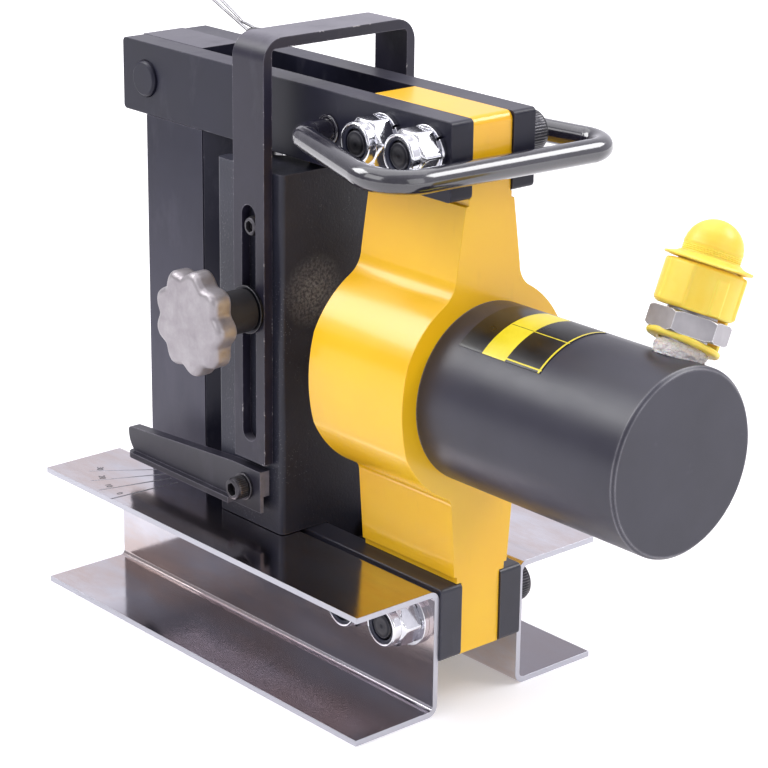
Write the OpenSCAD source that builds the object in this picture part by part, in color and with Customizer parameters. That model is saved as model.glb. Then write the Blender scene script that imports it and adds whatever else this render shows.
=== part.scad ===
// Hydraulic busbar bender with a remote pump connection.
// X runs along the cylinder, + towards its closed end. Z is up. -Y is the side with the knob.
// The origin lies on the ground, in the middle of the overall length and width. All sizes are in mm.

/* [Side bars] */
// Length of each side bar
bar_l = 217.4; // [205:0.1:235]
// Thickness of each side bar
bar_t = 11.8; // [10:0.1:14]
// Height of each side bar
bar_h = 32.4; // [29:0.1:36]
// Rounding of the bar ends
bar_r = 2; // [1:0.5:4]
// Clear height between the upper and the lower bars
opening_h = 164; // [158:1:175]
// Underside of the lower bars above the ground
bar_low_z = 24.6; // [15:0.1:35]
// How far the bars stand out in front of the feet
bar_over = 1.4; // [0.5:0.1:4]

/* [Feet] */
// Length of each foot channel
foot_l = 220; // [215:1:240]
// Width of each foot channel
foot_w = 45; // [35:1:60]
// Sheet thickness of the feet
sheet_t = 2.5; // [2:0.1:3]
// Inside bend radius of the sheet
sheet_r = 2.5; // [2:0.1:4]
// Number of angle lines on the near foot
fan_n = 4; // [2:1:5]
// Angle of the first line from straight across
fan_first = 4; // [0:0.5:8]
// Angle from one line to the next
fan_step = 10.5; // [5:0.5:11]
// Inner radius of the line fan
fan_r0 = 33; // [30:1:40]
// Outer radius of the line fan
fan_r1 = 68; // [55:1:75]
// Width of an engraved line
line_w = 0.7; // [0.4:0.1:1]
// Depth of an engraved line
line_d = 0.3; // [0.2:0.05:0.5]

/* [Casting] */
// Length of the casting along the cylinder
cast_l = 58; // [50:1:64]
// Thickness of the tongues between the bars
tongue_t = 21.8; // [18:0.1:26]
// Setback of the casting behind the bar ends
cast_back = 1; // [0.5:0.1:3]
// Width of the upper neck at its top
neck_top_w = 26.5; // [26:0.5:32]
// Width of the upper neck where it meets the boss
neck_boss_w = 35; // [32:0.5:38]
// Width of the lower neck at its foot
neck_low_w = 30; // [29:0.5:34]
// Width of the lower neck where it meets the boss
neck_under_w = 35; // [33:0.5:40]
// Radius of the boss
boss_r = 47; // [45:0.5:50]
// Half width of the boss across its flattened sides
boss_side = 45.5; // [44:0.5:46]
// Radius of the flattened sides
side_r = 70; // [60:1:90]
// Fillet between upper neck and boss
fillet_top = 12; // [8:0.5:16]
// Fillet between lower neck and boss
fillet_low = 5; // [3:0.5:8]
// Height of the small step next to the bars
step_h = 3; // [2:0.1:4]
// Inset of that step
step_in = 1.5; // [1:0.1:1.8]
// Rounding of the upper tongue's front edge
tongue_r = 3.5; // [2:0.5:5]

/* [Cylinder] */
// Height of the cylinder axis above the ground
axis_z = 138.7; // [134:0.1:144]
// Outer diameter of the barrel
barrel_d = 76; // [72:1:80]
// Visible length of the barrel
barrel_l = 108; // [100:1:120]
// Bore of the cylinder
bore_d = 54; // [50:1:56]
// Thickness of the closed end
barrel_end_t = 9; // [8:0.5:9]
// Chamfer on the rim of the closed end
rim_c = 1.2; // [0.8:0.1:2]
// Diameter of the barrel spigot inside the casting
spigot_d = 66; // [62:1:70]
// Depth of the spigot in the casting
spigot_l = 22; // [16:1:26]
// Diameter of the piston rod
rod_d = 36; // [30:1:38]
// Length of the piston
piston_l = 18; // [14:1:24]
// Length of the oil space behind the piston
oil_l = 12.4; // [11:0.1:14]
// Ram stroke
stroke = 31; // [20:1:31]
// Outer diameter of the guide bush
bush_d = 46; // [43:1:50]
// Length of the guide bush
bush_l = 26; // [20:1:28]
// Length of the rod seal
seal_l = 6; // [4:0.5:7]
// Wire of the return spring
spring_w = 5; // [4:0.5:5.5]
// Turns of the return spring
spring_n = 7; // [5:1:8]
// Running clearance of round fits, radial
run_fit = 0.06; // [0.04:0.01:0.09]

/* [V block] */
// Length of the V block along the cylinder
vee_l = 44; // [42:0.5:46]
// Width of the V block
vee_w = 73; // [68:0.5:76]
// Gap between the V block and the upper bars
vee_top_gap = 3.8; // [2:0.1:6]
// Sliding clearance under the V block
slide_gap = 0.3; // [0.3:0.05:0.6]
// Flat land on each lip of the V
lip_w = 7; // [5:0.5:9]
// Radius at the bottom of the V
vee_r = 10; // [7:0.5:12]
// Gap for the bar between nose and lips
bar_room = 7.9; // [7:0.1:12]
// Length of the keys between the bars
key_l = 14; // [10:0.5:14]
// Height of the keys
key_h = 12; // [8:0.5:18]
// Side clearance of the keys
key_gap = 0.3; // [0.3:0.05:0.5]

/* [Post and nose] */
// Length of the rear post along the cylinder
post_l = 40.6; // [34:0.1:44]
// Length of the post head along the bars
head_l = 43; // [38:0.5:48]
// Shoulder beside the nose on the post
nose_in = 0.3; // [0.3:0.1:4]
// Rounding of the nose edge
nose_r = 5; // [3:0.5:7]
// Diameter of the cross pins
cross_d = 16; // [12:0.5:18]
// Distance of the cross pins from the rear end of the bars
cross_in = 17.3; // [14:0.1:20]
// How far the upper cross pin stands proud
cross_proud = 2; // [1:0.1:3]
// Diameter of the upright nose pin
npin_d = 8; // [6:0.5:9]
// Distance of the nose pin behind the tip of the nose
npin_in = 11.1; // [8:0.1:12]
// How far the nose pin stands above the upper bars
npin_up = 11; // [8:0.5:14]
// Wire of the spring clip
clip_w = 1.3; // [1.1:0.1:1.6]
// Length of the spring clip
clip_l = 44; // [34:1:52]
// Hole for the clip in the nose pin
clip_hole = 3; // [2.6:0.1:3.6]
// Upward tilt of the clip
clip_tilt = 22; // [10:1:24]

/* [Strap] */
// Width of the strap
strap_w = 20.6; // [18:0.2:24]
// Thickness of the strap
strap_t = 4.5; // [3.5:0.1:5]
// Gap between the strap and the V block
strap_gap = 0.3; // [0.2:0.05:0.4]
// Height of the strap top above the upper bars
strap_up = 20; // [17:0.5:24]
// Outer radius of the strap bends
strap_r = 10; // [8:0.5:12]
// Inner radius of the strap bends
strap_ri = 2; // [1:0.5:4]
// Lower end of the strap legs above the V block foot
strap_low = 31.5; // [30:0.5:36]
// Distance of the strap centre from the back of the V block
strap_in = 16.2; // [14:0.1:18]
// Width of the slot
slot_w = 9.2; // [9:0.1:11]
// Distance from the leg end to the slot
slot_low = 8.8; // [7:0.1:11]
// Length of the slot
slot_l = 104.7; // [98:0.1:110]
// Height of the guide screws above the V block foot
guide_up = 135.6; // [125:0.1:136]
// Head diameter of the guide screws
guide_d = 8.4; // [7.5:0.1:8.6]
// Strap height travel
strap_travel = 44; // [20:1:48]

/* [Knob] */
// Height of the knob above the V block foot
knob_up = 99.7; // [90:0.1:104]
// Diameter over the lobes
knob_d = 46.5; // [42:0.5:54]
// Number of lobes
knob_n = 9; // [7:1:10]
// Place of the first lobe round the knob
knob_first = 39.5; // [30:0.5:70]
// Radius of one lobe
lobe_r = 5; // [4.5:0.1:6]
// Depth of the valleys between lobes
valley = 3.9; // [2:0.1:4.5]
// Thickness of the star
knob_t = 12; // [9:0.5:15]
// Diameter of the hub
hub_d = 18.6; // [16:0.2:22]
// Length of the hub
hub_l = 20.2; // [16:0.1:22]
// Diameter of the knob stud
stud_d = 8; // [6:0.5:8.5]
// Depth of the stud in the V block
stud_in = 13; // [9:0.5:15]
// Knob washer thickness
kwash_t = 1.6; // [1:0.1:2.5]
// Play between the knob washer and the strap
clamp_gap = 0.2; // [0.1:0.05:0.5]

/* [Pointer] */
// Length of the pointer from its pivot to the tip
ptr_l = 85.6; // [70:0.1:95]
// Length of the pointer past its pivot
ptr_tail = 11; // [9:0.5:13]
// Thickness of the pointer
ptr_t = 5; // [4:0.1:6]
// Height of the pointer pivot above the V block foot
ptr_up = 18.7; // [17:0.1:20]
// Distance of the pivot from the back of the V block
ptr_in = 19.4; // [18:0.1:24]
// Top of the pointer above its pivot
ptr_top = 9.2; // [8:0.1:10]
// Round of the tip below
tip_r = 11.5; // [9:0.5:12.5]
// Round of the tip above
tip_top_r = 1.8; // [1:0.1:2]
// Drop of the top edge at the tip
ptr_drop = 5.4; // [3:0.1:7]
// Foot of the pointer below its pivot
ptr_foot = 9.6; // [8:0.1:11]
// Lower end of the tail below the pivot
tail_low = 2.4; // [1.5:0.1:4]
// Length of the tail notch
tail_cut = 6; // [4:0.5:7]
// Thickness of the foot left in front of the tail notch
tab_t = 1.8; // [1.5:0.1:2.5]
// Thickness of the foot lip
lip_t = 2.6; // [2:0.1:3.5]
// How far the foot lip stands out
lip_out = 3; // [2:0.1:4]
// Thread diameter of the pointer screw
ps_d = 6; // [5:0.5:7]
// Head diameter of the pointer screw
ps_head = 10; // [8.5:0.5:11]
// Head height of the pointer screw
ps_head_h = 6; // [5:0.5:7]

/* [Bolts] */
// Bolt diameter
bolt_d = 12; // [10:0.5:12.5]
// Clearance hole over the bolt, on the diameter
bolt_gap = 0.4; // [0.2:0.1:0.8]
// Pitch of the two bolts of a pair
bolt_pitch = 25.8; // [25:0.1:29]
// First upper bolt from the front end of the bars
bolt_top_in = 12.8; // [11:0.1:16]
// First lower bolt from the front end of the bars
bolt_low_in = 16.4; // [13:0.1:18]
// Upper bolts above the middle of the bar
bolt_lift = 3; // [0:0.1:4]
// Diameter of the plain washers on the feet
wash_d = 24; // [22:0.5:24.5]
// Diameter of the split washers on the upper bars
split_d = 21.2; // [20:0.1:22]
// Gap of a split washer
split_gap = 1; // [0.6:0.1:1.4]
// Washer thickness
wash_t = 2.5; // [2:0.1:3]
// Width across flats of the nut
nut_af = 18.6; // [17:0.1:20]
// Overall height of the locking nut
nut_h = 14.2; // [12:0.1:15]
// Height of the nut's round collar
nut_col_h = 4.6; // [3:0.1:6]
// Diameter of the nut's round collar
nut_face = 17.6; // [16:0.1:18]
// Chamfer of the nut's corners and collar
nut_cham = 1; // [0.5:0.1:2]
// How deep the bolt ends lie in their nuts
bolt_sink = 0.5; // [0.2:0.1:1.5]
// Head diameter of the socket bolts
head_d = 18; // [17:0.5:20]
// Head height of the socket bolts
head_h = 12; // [10:0.5:13]
// Socket width across flats
sock_af = 10; // [8:0.5:11]

/* [Bail] */
// Diameter of the bail rod
bail_d = 10; // [8:0.5:12]
// Distance of the bail pivot from the front end of the bars
bail_in = 73.7; // [70:0.1:78]
// Gap between the grip and the ends of the bars that it rests on
bail_gap = 0.4; // [0.3:0.1:3]
// Gap between the near and far leg at the pivot, centre to centre
bail_y0 = 76; // [74:0.5:84]
// How much further out the far corner of the grip stands
bail_skew = 7.5; // [0:0.5:9]
// Width of the grip, corner to corner
bail_y1 = 122; // [112:1:134]
// Drop of the grip below the pivot
bail_drop = 3.2; // [0:0.1:6]
// Bend radius at the near corner of the grip
bail_r = 17; // [12:0.5:20]
// Bend radius at the far corner of the grip
bail_r_far = 12; // [9:0.5:14]
// Bend radius at the ears
ear_r = 8; // [7:0.5:9]
// Depth of the bail ends in the bars
bail_seat = 8; // [5:0.5:9]
// Clearance of the bail end, radial
bail_fit = 0.08; // [0.05:0.01:0.1]
// Collar diameter
collar_d = 13; // [12.5:0.1:15]
// Collar thickness
collar_t = 1.2; // [0.8:0.1:2]

/* [Coupler] */
// Distance of the coupler from the closed end
cpl_in = 18.4; // [17.5:0.1:21]
// Lean of the coupler away from upright
cpl_lean = 23; // [0:1:30]
// Thread diameter of the coupler
cpl_thr = 18; // [15:0.5:20]
// Thickness of the tape on the thread
tape_t = 0.6; // [0.3:0.1:1]
// Length of thread and tape that shows
tape_l = 5; // [3:0.1:6]
// Thickness of the leash ring
ring_t = 3.2; // [2.5:0.1:4]
// Diameter of the leash ring
ring_d = 30; // [27:0.5:33]
// Width across flats of the coupler nut
cnut_af = 28.6; // [26:0.2:32]
// Height of the coupler nut
cnut_h = 8.4; // [7:0.2:10]
// Diameter of the nipple
nip_d = 20; // [17:0.5:22]
// Length of the nipple
nip_l = 15; // [12:0.5:18]
// Gap between nut and cap
cap_gap = 1; // [0.5:0.1:2]
// Skirt diameter of the cap
cap_d = 32.4; // [29:0.2:35]
// Skirt height of the cap
cap_h = 18.3; // [16.5:0.1:20]
// Play of the cap on the nipple and in the leash ring
cap_play = 0.3; // [0.3:0.05:0.6]
// Number of grip ribs on the cap
cap_n = 12; // [8:1:16]
// Diameter of the cap disc
disc_d = 35.4; // [33.5:0.2:39]
// Thickness of the cap disc
disc_t = 3.4; // [2.5:0.1:4.5]
// Radius of the cap dome
dome_r = 11.8; // [10:0.1:13]
// Straight height below the dome
dome_h = 3; // [2:0.1:5]
// Turn of the coupler nut
cnut_turn = -12; // [-20:1:20]
// Width of the leash strap
leash_w = 9; // [6:0.5:12]
// Thickness of the leash strap
leash_t = 2; // [1.5:0.1:2.5]
// Place of the leash strap round the coupler, from +X towards +Y
leash_turn = 92; // [60:1:120]

/* [Label] */
// Distance of the label from the casting
label_in = 11.4; // [6:0.1:20]
// Length of the label
label_l = 45; // [35:1:60]
// Angle that the label covers
label_a = 58; // [40:1:70]
// Angle from the top to the far edge of the label
label_a0 = 15; // [0:1:20]
// Label thickness
label_t = 0.25; // [0.2:0.05:0.4]
// Glue layer under the label
glue_t = 0.04; // [0.03:0.01:0.1]

/* [Hidden] */
$fn = 64;
eps = 0.01;

// Bars and feet, placed so that the origin is midway between the rear end of the feet
// and the closed end of the barrel
total_l = foot_l + bar_over - cast_back + barrel_l;
foot_x0 = -total_l / 2;
foot_x1 = foot_x0 + foot_l;
bar_x1 = foot_x1 + bar_over;
bar_x0 = bar_x1 - bar_l;
bar_in_y = tongue_t / 2;
bar_out_y = bar_in_y + bar_t;
low_top = bar_low_z + bar_h;
up_low = low_top + opening_h;
up_top = up_low + bar_h;
foot_h = low_top;
foot_out_y = bar_out_y + foot_w;

// Casting
cast_x1 = bar_x1 - cast_back;
cast_x0 = cast_x1 - cast_l;
// The fillets bite a little into the boss, so that no sliver is left where they touch it
bite = 0.02;
fc_top_y = neck_boss_w / 2 + fillet_top + bite;
fc_top_z = sqrt(pow(boss_r + fillet_top, 2) - pow(fc_top_y, 2));
fc_low_y = neck_under_w / 2 + fillet_low + bite;
fc_low_z = sqrt(pow(boss_r + fillet_low, 2) - pow(fc_low_y, 2));
side_off = side_r - boss_side;

// Cylinder
barrel_x1 = cast_x1 + barrel_l;
spigot_x0 = cast_x1 - spigot_l;
bore_x1 = barrel_x1 - barrel_end_t;
piston_x1 = bore_x1 - oil_l;
piston_x0 = piston_x1 - piston_l;
bush_x0 = spigot_x0 - bush_l;
seal_x0 = cast_x0 + 0.6;
spring_len = piston_x0 - stroke - spigot_x0 - 1;
spring_r = rod_d / 2 + (bore_d - rod_d) / 4;

// Post and nose
post_x0 = bar_x0 + cross_in;
post_x1 = post_x0 + post_l;
nose_y = bar_out_y - nose_in;
nose_apex = post_x1 + nose_y;
nose_cx = nose_apex - nose_r * sqrt(2);
nose_tip = nose_cx + nose_r;
cross_top_z = (up_low + up_top) / 2;
cross_low_z = bar_low_z + bar_h / 2;
npin_x = nose_tip - npin_in;
npin_top = up_top + npin_up;
clip_z = npin_top - clip_hole / 2 - 2.2;

// V block
vee_x0 = nose_tip + bar_room;
vee_x1 = vee_x0 + vee_l;
vee_z0 = low_top + slide_gap;
vee_z1 = up_low - vee_top_gap;
vee_apex = vee_x0 + vee_w / 2 - lip_w;
vee_bot = vee_apex - vee_r * (sqrt(2) - 1);
vee_y = vee_w / 2;

// Strap, knob and pointer
strap_x = vee_x1 - strap_in;
strap_y0 = vee_y + strap_gap;
strap_y1 = strap_y0 + strap_t;
strap_z0 = vee_z0 + strap_low;
strap_z1 = up_top + strap_up;
slot_z0 = strap_z0 + slot_low;
slot_z1 = slot_z0 + slot_l;
guide_z = vee_z0 + guide_up;
knob_z = vee_z0 + knob_up;
kwash_y = strap_y1 + clamp_gap + kwash_t;
hub_y = kwash_y + hub_l;
knob_y = hub_y + knob_t;
ptr_x = vee_x1 - ptr_in;
ptr_z = vee_z0 + ptr_up;
ptr_y0 = vee_y + strap_gap;
ptr_y1 = ptr_y0 + ptr_t;
psw_t = 1.2;

// Shift that puts the origin midway between the knob and the far foot
mid_y = (knob_y - foot_out_y) / 2;

// Bolts
bolt_hole = bolt_d + bolt_gap;
bolt_top_x = bar_x1 - bolt_top_in;
bolt_low_x = bar_x1 - bolt_low_in;
bolt_top_z = cross_top_z + bolt_lift;

// Bail
bail_x = bar_x1 - bail_in;
grip_x = bar_x1 + bail_gap + bail_d / 2;
bail_z = cross_top_z;
bail_tilt = asin(bail_drop / (grip_x - bail_x));
bail_run = (grip_x - bail_x) / cos(bail_tilt);
bail_out = (bail_y1 - bail_y0) / 2;

// Coupler, radii from the barrel axis
cpl_x = barrel_x1 - cpl_in;
cr_ring = barrel_d / 2 + tape_l;
cr_nut = cr_ring + ring_t;
cr_nip = cr_nut + cnut_h;
cr_cap = cr_nip + cap_gap;
cr_disc = cr_cap + cap_h;
cr_dome = cr_disc + disc_t;

// Every piece is drawn about the middle plane of the bars and then moved to its place
module placed() {
  translate([0, mid_y, 0]) children();
}

// Bodies of revolution along X from x0 to x1
module xcyl(x0, x1, d) {
  translate([x0, 0, 0]) rotate([0, 90, 0]) cylinder(h = x1 - x0, d = d);
}

// Cylinder along Y from y0 to y1
module ycyl(y0, y1, d) {
  translate([0, y0, 0]) rotate([-90, 0, 0]) cylinder(h = y1 - y0, d = d);
}

// Straight box between two corners
module box(x0, x1, y0, y1, z0, z1) {
  translate([x0, y0, z0]) cube([x1 - x0, y1 - y0, z1 - z0]);
}

// Rectangle with rounded corners, exact arcs
module rrect(w, h, r) {
  translate([r, 0]) square([w - 2 * r, h]);
  translate([0, r]) square([w, h - 2 * r]);
  for (x = [r, w - r]) for (y = [r, h - r]) translate([x, y]) circle(r);
}

// Outline drawn in X and Z, raised along Y from y0 to y1
module xz(y0, y1) {
  translate([0, y1, 0]) rotate([90, 0, 0]) linear_extrude(y1 - y0) children();
}

// Outline drawn in Y and Z, raised along X from x0 to x1
module yz(x0, x1) {
  translate([x0, 0, 0]) rotate([90, 0, 90]) linear_extrude(x1 - x0) children();
}

// Holes shared by the upper bars and the casting
module top_holes() {
  for (k = [0, 1]) translate([bolt_top_x - k * bolt_pitch, 0, bolt_top_z])
    ycyl(-foot_out_y, foot_out_y, bolt_hole);
}

module low_holes() {
  for (k = [0, 1]) translate([bolt_low_x - k * bolt_pitch, 0, cross_low_z])
    ycyl(-foot_out_y, foot_out_y, bolt_hole);
}

// One foot channel, open towards -Y
module channel() {
  ro = sheet_t + sheet_r;
  difference() {
    yz(foot_x0, foot_x1) difference() {
      translate([-foot_out_y - ro, 0]) rrect(foot_w + ro, foot_h, ro);
      translate([-foot_out_y - ro - 1, sheet_t])
        rrect(foot_w + ro + 1 - sheet_t, foot_h - 2 * sheet_t, sheet_r);
      translate([-foot_out_y - ro - 2, -1]) square([ro + 2, foot_h + 2]);
    }
    low_holes();
    translate([post_x0, 0, cross_low_z]) ycyl(-foot_out_y, 0, cross_d + 0.2);
  }
}

module fan_lines() {
  translate([post_x1 - 6, 0, foot_h - line_d]) for (k = [0 : fan_n - 1])
    rotate([0, 0, -fan_first - k * fan_step])
      translate([-line_w / 2, -fan_r1, 0]) cube([line_w, fan_r1 - fan_r0, line_d + 1]);
}

module foot_near() {
  color([0.74, 0.75, 0.76]) placed() difference() {
    channel();
    fan_lines();
  }
}

module foot_far() {
  color([0.74, 0.75, 0.76]) placed() mirror([0, 1, 0]) channel();
}

// One bar on the -Y side, its underside at z0
module side_bar(z0) {
  translate([bar_x0, 0, z0]) xz(-bar_out_y, -bar_in_y) rrect(bar_l, bar_h, bar_r);
}

module bar_top_near() {
  color([0.12, 0.12, 0.13]) placed() difference() {
    side_bar(up_low);
    top_holes();
    translate([post_x0, 0, cross_top_z]) ycyl(-bar_out_y - 1, 0, cross_d + 2 * run_fit);
    translate([bail_x, 0, bail_z]) ycyl(-bar_out_y - 1, -bar_out_y + bail_seat, bail_d + 2 * bail_fit);
  }
}

module bar_top_far() {
  color([0.12, 0.12, 0.13]) placed() mirror([0, 1, 0]) difference() {
    side_bar(up_low);
    top_holes();
    translate([post_x0, 0, cross_top_z]) ycyl(-bar_out_y - 1, 0, cross_d + 2 * run_fit);
    translate([bail_x, 0, bail_z]) ycyl(-bar_out_y - 1, -bar_out_y + bail_seat, bail_d + 2 * bail_fit);
  }
}

module low_bar() {
  difference() {
    side_bar(bar_low_z);
    low_holes();
    translate([post_x0, 0, cross_low_z]) ycyl(-bar_out_y - 1, 0, cross_d + 0.2);
  }
}

module bar_low_near() {
  color([0.12, 0.12, 0.13]) placed() low_bar();
}

module bar_low_far() {
  color([0.12, 0.12, 0.13]) placed() mirror([0, 1, 0]) low_bar();
}

// Half outline of the casting in Y and Z, boss centre at the origin
module cast_outline() {
  up0 = up_low - axis_z;
  dn0 = low_top - axis_z;
  // Boss with flattened sides
  intersection() {
    circle(boss_r);
    translate([side_off, 0]) circle(side_r, $fn = 96);
    translate([-side_off, 0]) circle(side_r, $fn = 96);
  }
  // Necks
  polygon([[-neck_boss_w / 2, fc_top_z], [-neck_top_w / 2, up0 - step_h],
    [neck_top_w / 2, up0 - step_h], [neck_boss_w / 2, fc_top_z], [0, 0]]);
  polygon([[-neck_under_w / 2, -fc_low_z], [-neck_low_w / 2, dn0 + step_h],
    [neck_low_w / 2, dn0 + step_h], [neck_under_w / 2, -fc_low_z], [0, 0]]);
  // Fillets where the necks run into the boss
  for (s = [-1, 1]) {
    difference() {
      polygon([[0, 0], [0, fc_top_z], [s * fc_top_y, fc_top_z]]);
      translate([s * fc_top_y, fc_top_z]) circle(fillet_top + bite);
    }
    difference() {
      polygon([[0, 0], [0, -fc_low_z], [s * fc_low_y, -fc_low_z]]);
      translate([s * fc_low_y, -fc_low_z]) circle(fillet_low + bite);
    }
  }
  // Small steps against the bars
  translate([-neck_top_w / 2 + step_in, up0 - step_h - 1]) square([neck_top_w - 2 * step_in, step_h + 1]);
  translate([-neck_low_w / 2 + step_in, dn0]) square([neck_low_w - 2 * step_in, step_h + 1]);
}

module casting() {
  color([0.96, 0.72, 0.05]) placed() difference() {
    union() {
      translate([0, 0, axis_z]) yz(cast_x0, cast_x1) cast_outline();
      translate([cast_x0, 0, up_low]) xz(-bar_in_y, bar_in_y) {
        square([cast_l - tongue_r, bar_h]);
        square([cast_l, bar_h - tongue_r]);
        translate([cast_l - tongue_r, bar_h - tongue_r]) circle(tongue_r);
      }
      box(cast_x0, cast_x1, -bar_in_y, bar_in_y, bar_low_z, low_top);
    }
    translate([0, 0, axis_z]) {
      xcyl(cast_x0 - 1, cast_x1 + 1, bush_d);
      xcyl(spigot_x0, cast_x1 + 1, spigot_d);
    }
    top_holes();
    low_holes();
  }
}

// Axis of the coupler, from the barrel axis outwards
module on_coupler(r) {
  translate([cpl_x, 0, axis_z]) rotate([-cpl_lean, 0, 0]) translate([0, 0, r]) children();
}

module barrel() {
  color([0.13, 0.13, 0.14]) placed() difference() {
    translate([0, 0, axis_z]) rotate([0, 90, 0]) rotate_extrude() polygon([
      [bore_d / 2, spigot_x0], [spigot_d / 2, spigot_x0], [spigot_d / 2, cast_x1],
      [barrel_d / 2, cast_x1], [barrel_d / 2, barrel_x1 - rim_c], [barrel_d / 2 - rim_c, barrel_x1],
      [0, barrel_x1], [0, bore_x1], [bore_d / 2, bore_x1]]);
    on_coupler(bore_d / 2 - 3) cylinder(h = barrel_d, d = cpl_thr);
  }
}

module guide_bush() {
  color([0.72, 0.52, 0.25]) placed() translate([0, 0, axis_z]) difference() {
    xcyl(bush_x0, spigot_x0, bush_d);
    xcyl(bush_x0 - 1, spigot_x0 + 1, rod_d + 2 * run_fit);
  }
}

module rod_seal() {
  color([0.2, 0.2, 0.2]) placed() translate([0, 0, axis_z]) difference() {
    xcyl(seal_x0, seal_x0 + seal_l, bush_d);
    xcyl(seal_x0 - 1, seal_x0 + seal_l + 1, rod_d + 2 * run_fit);
  }
}

seal_w = 5;
groove_r = bore_d / 2 - 4;
spig_r = 8;
spig_l = 7;

module ram() {
  color([0.8, 0.8, 0.82]) placed() translate([0, 0, axis_z]) rotate([0, 90, 0]) rotate_extrude() polygon([
    [0, vee_x1 - spig_l], [spig_r, vee_x1 - spig_l], [spig_r, vee_x1], [rod_d / 2, vee_x1],
    [rod_d / 2, piston_x0], [bore_d / 2 - run_fit, piston_x0],
    [bore_d / 2 - run_fit, piston_x0 + piston_l / 2 - seal_w / 2],
    [groove_r, piston_x0 + piston_l / 2 - seal_w / 2],
    [groove_r, piston_x0 + piston_l / 2 + seal_w / 2],
    [bore_d / 2 - run_fit, piston_x0 + piston_l / 2 + seal_w / 2],
    [bore_d / 2 - run_fit, piston_x1], [spig_r, piston_x1], [spig_r, bore_x1], [0, bore_x1]]);
}

module piston_seal() {
  color([0.1, 0.1, 0.1]) placed() translate([0, 0, axis_z]) difference() {
    xcyl(piston_x0 + piston_l / 2 - seal_w / 2, piston_x0 + piston_l / 2 + seal_w / 2, bore_d - 0.08);
    xcyl(piston_x0, piston_x1, 2 * groove_r);
  }
}

// One unbroken helix of round wire from sections along its own points
function coil_pt(i, n, m, r, len, w, j) =
  let (a = 360 * n * i / m, b = 360 * j / 6, rr = r + w / 2 * cos(b))
  [w / 2 + (len - w) * i / m + w / 2 * sin(b), rr * cos(a), rr * sin(a)];

module coil(n, r, len, w) {
  m = n * 24;
  pts = [for (i = [0 : m]) for (j = [0 : 5]) coil_pt(i, n, m, r, len, w, j)];
  side = [for (i = [0 : m - 1]) for (j = [0 : 5]) let (k = (j + 1) % 6)
    each [[i * 6 + j, i * 6 + k, i * 6 + 6 + j], [i * 6 + k, i * 6 + 6 + k, i * 6 + 6 + j]]];
  caps = [for (j = [1 : 4]) each [[0, j + 1, j], [m * 6, m * 6 + j, m * 6 + j + 1]]];
  polyhedron(pts, concat(side, caps));
}

module return_spring() {
  color([0.55, 0.56, 0.58]) placed() translate([spigot_x0, 0, axis_z])
    coil(spring_n, spring_r, spring_len, spring_w);
}

module vee_block() {
  color([0.11, 0.11, 0.12]) placed() difference() {
    union() {
      translate([0, 0, vee_z0]) linear_extrude(vee_z1 - vee_z0) difference() {
        translate([vee_x0, -vee_y]) rrect(vee_l, vee_w, 2.5);
        difference() {
          polygon([[vee_x0 - 1, -vee_y + lip_w - 1], [vee_apex, 0], [vee_x0 - 1, vee_y - lip_w + 1]]);
          difference() {
            polygon([[vee_apex, 0], [vee_apex - vee_r * sqrt(2) / 2, -vee_r * sqrt(2) / 2],
              [vee_apex - vee_r * sqrt(2), 0], [vee_apex - vee_r * sqrt(2) / 2, vee_r * sqrt(2) / 2]]);
            translate([vee_apex - vee_r * sqrt(2), 0]) circle(vee_r);
          }
        }
      }
      // Keys that run between the upper and the lower bars
      box(vee_x1 - key_l, vee_x1, -bar_in_y + key_gap, bar_in_y - key_gap, vee_z0 - key_h, vee_z0 + eps);
      box(vee_x1 - key_l, vee_x1, -bar_in_y + key_gap, bar_in_y - key_gap, vee_z1 - eps, up_low + key_h);
    }
    translate([0, 0, axis_z]) xcyl(vee_x1 - spig_l, vee_x1 + 1, 2 * spig_r);
    translate([strap_x, 0, knob_z]) ycyl(-vee_y - 1, -vee_y + stud_in, stud_d);
    for (s = [-1, 1]) translate([strap_x, 0, guide_z])
      ycyl(min(s * (vee_y + 1), s * (vee_y - 10)), max(s * (vee_y + 1), s * (vee_y - 10)), 5);
    translate([ptr_x, 0, ptr_z]) ycyl(-vee_y - 1, -vee_y + 12, ps_d);
  }
}

module post() {
  color([0.12, 0.12, 0.13]) placed() difference() {
    union() {
      box(post_x0, post_x1, -bar_out_y, bar_out_y, low_top, up_low);
      box(bar_x0, bar_x0 + head_l, -bar_in_y, bar_in_y, up_low - eps, up_top);
      box(bar_x0, bar_x0 + head_l, -bar_in_y, bar_in_y, bar_low_z, low_top + eps);
    }
    translate([post_x0, 0, cross_top_z]) ycyl(-bar_out_y - 1, bar_out_y + 1, cross_d + 2 * run_fit);
    translate([post_x0, 0, cross_low_z]) ycyl(-bar_out_y - 1, bar_out_y + 1, cross_d + 0.2);
  }
}

module nose() {
  color([0.14, 0.14, 0.15]) placed() difference() {
    translate([0, 0, low_top]) linear_extrude(opening_h) {
      difference() {
        polygon([[post_x1, -nose_y], [nose_apex, 0], [post_x1, nose_y]]);
        translate([nose_apex - nose_r * sqrt(2) / 2, -nose_r]) square([nose_r, 2 * nose_r]);
      }
      translate([nose_cx, 0]) circle(nose_r);
    }
    translate([npin_x, 0, low_top - 1]) cylinder(h = opening_h + 2, d = npin_d + 2 * run_fit);
  }
}

module cross_pin_top() {
  c = 1;
  color([0.16, 0.16, 0.17]) placed() translate([post_x0, 0, cross_top_z]) rotate([-90, 0, 0])
    rotate_extrude() polygon([[0, -bar_out_y - cross_proud], [cross_d / 2 - c, -bar_out_y - cross_proud],
      [cross_d / 2, -bar_out_y - cross_proud + c], [cross_d / 2, bar_out_y + cross_proud - c],
      [cross_d / 2 - c, bar_out_y + cross_proud], [0, bar_out_y + cross_proud]]);
}

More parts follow.
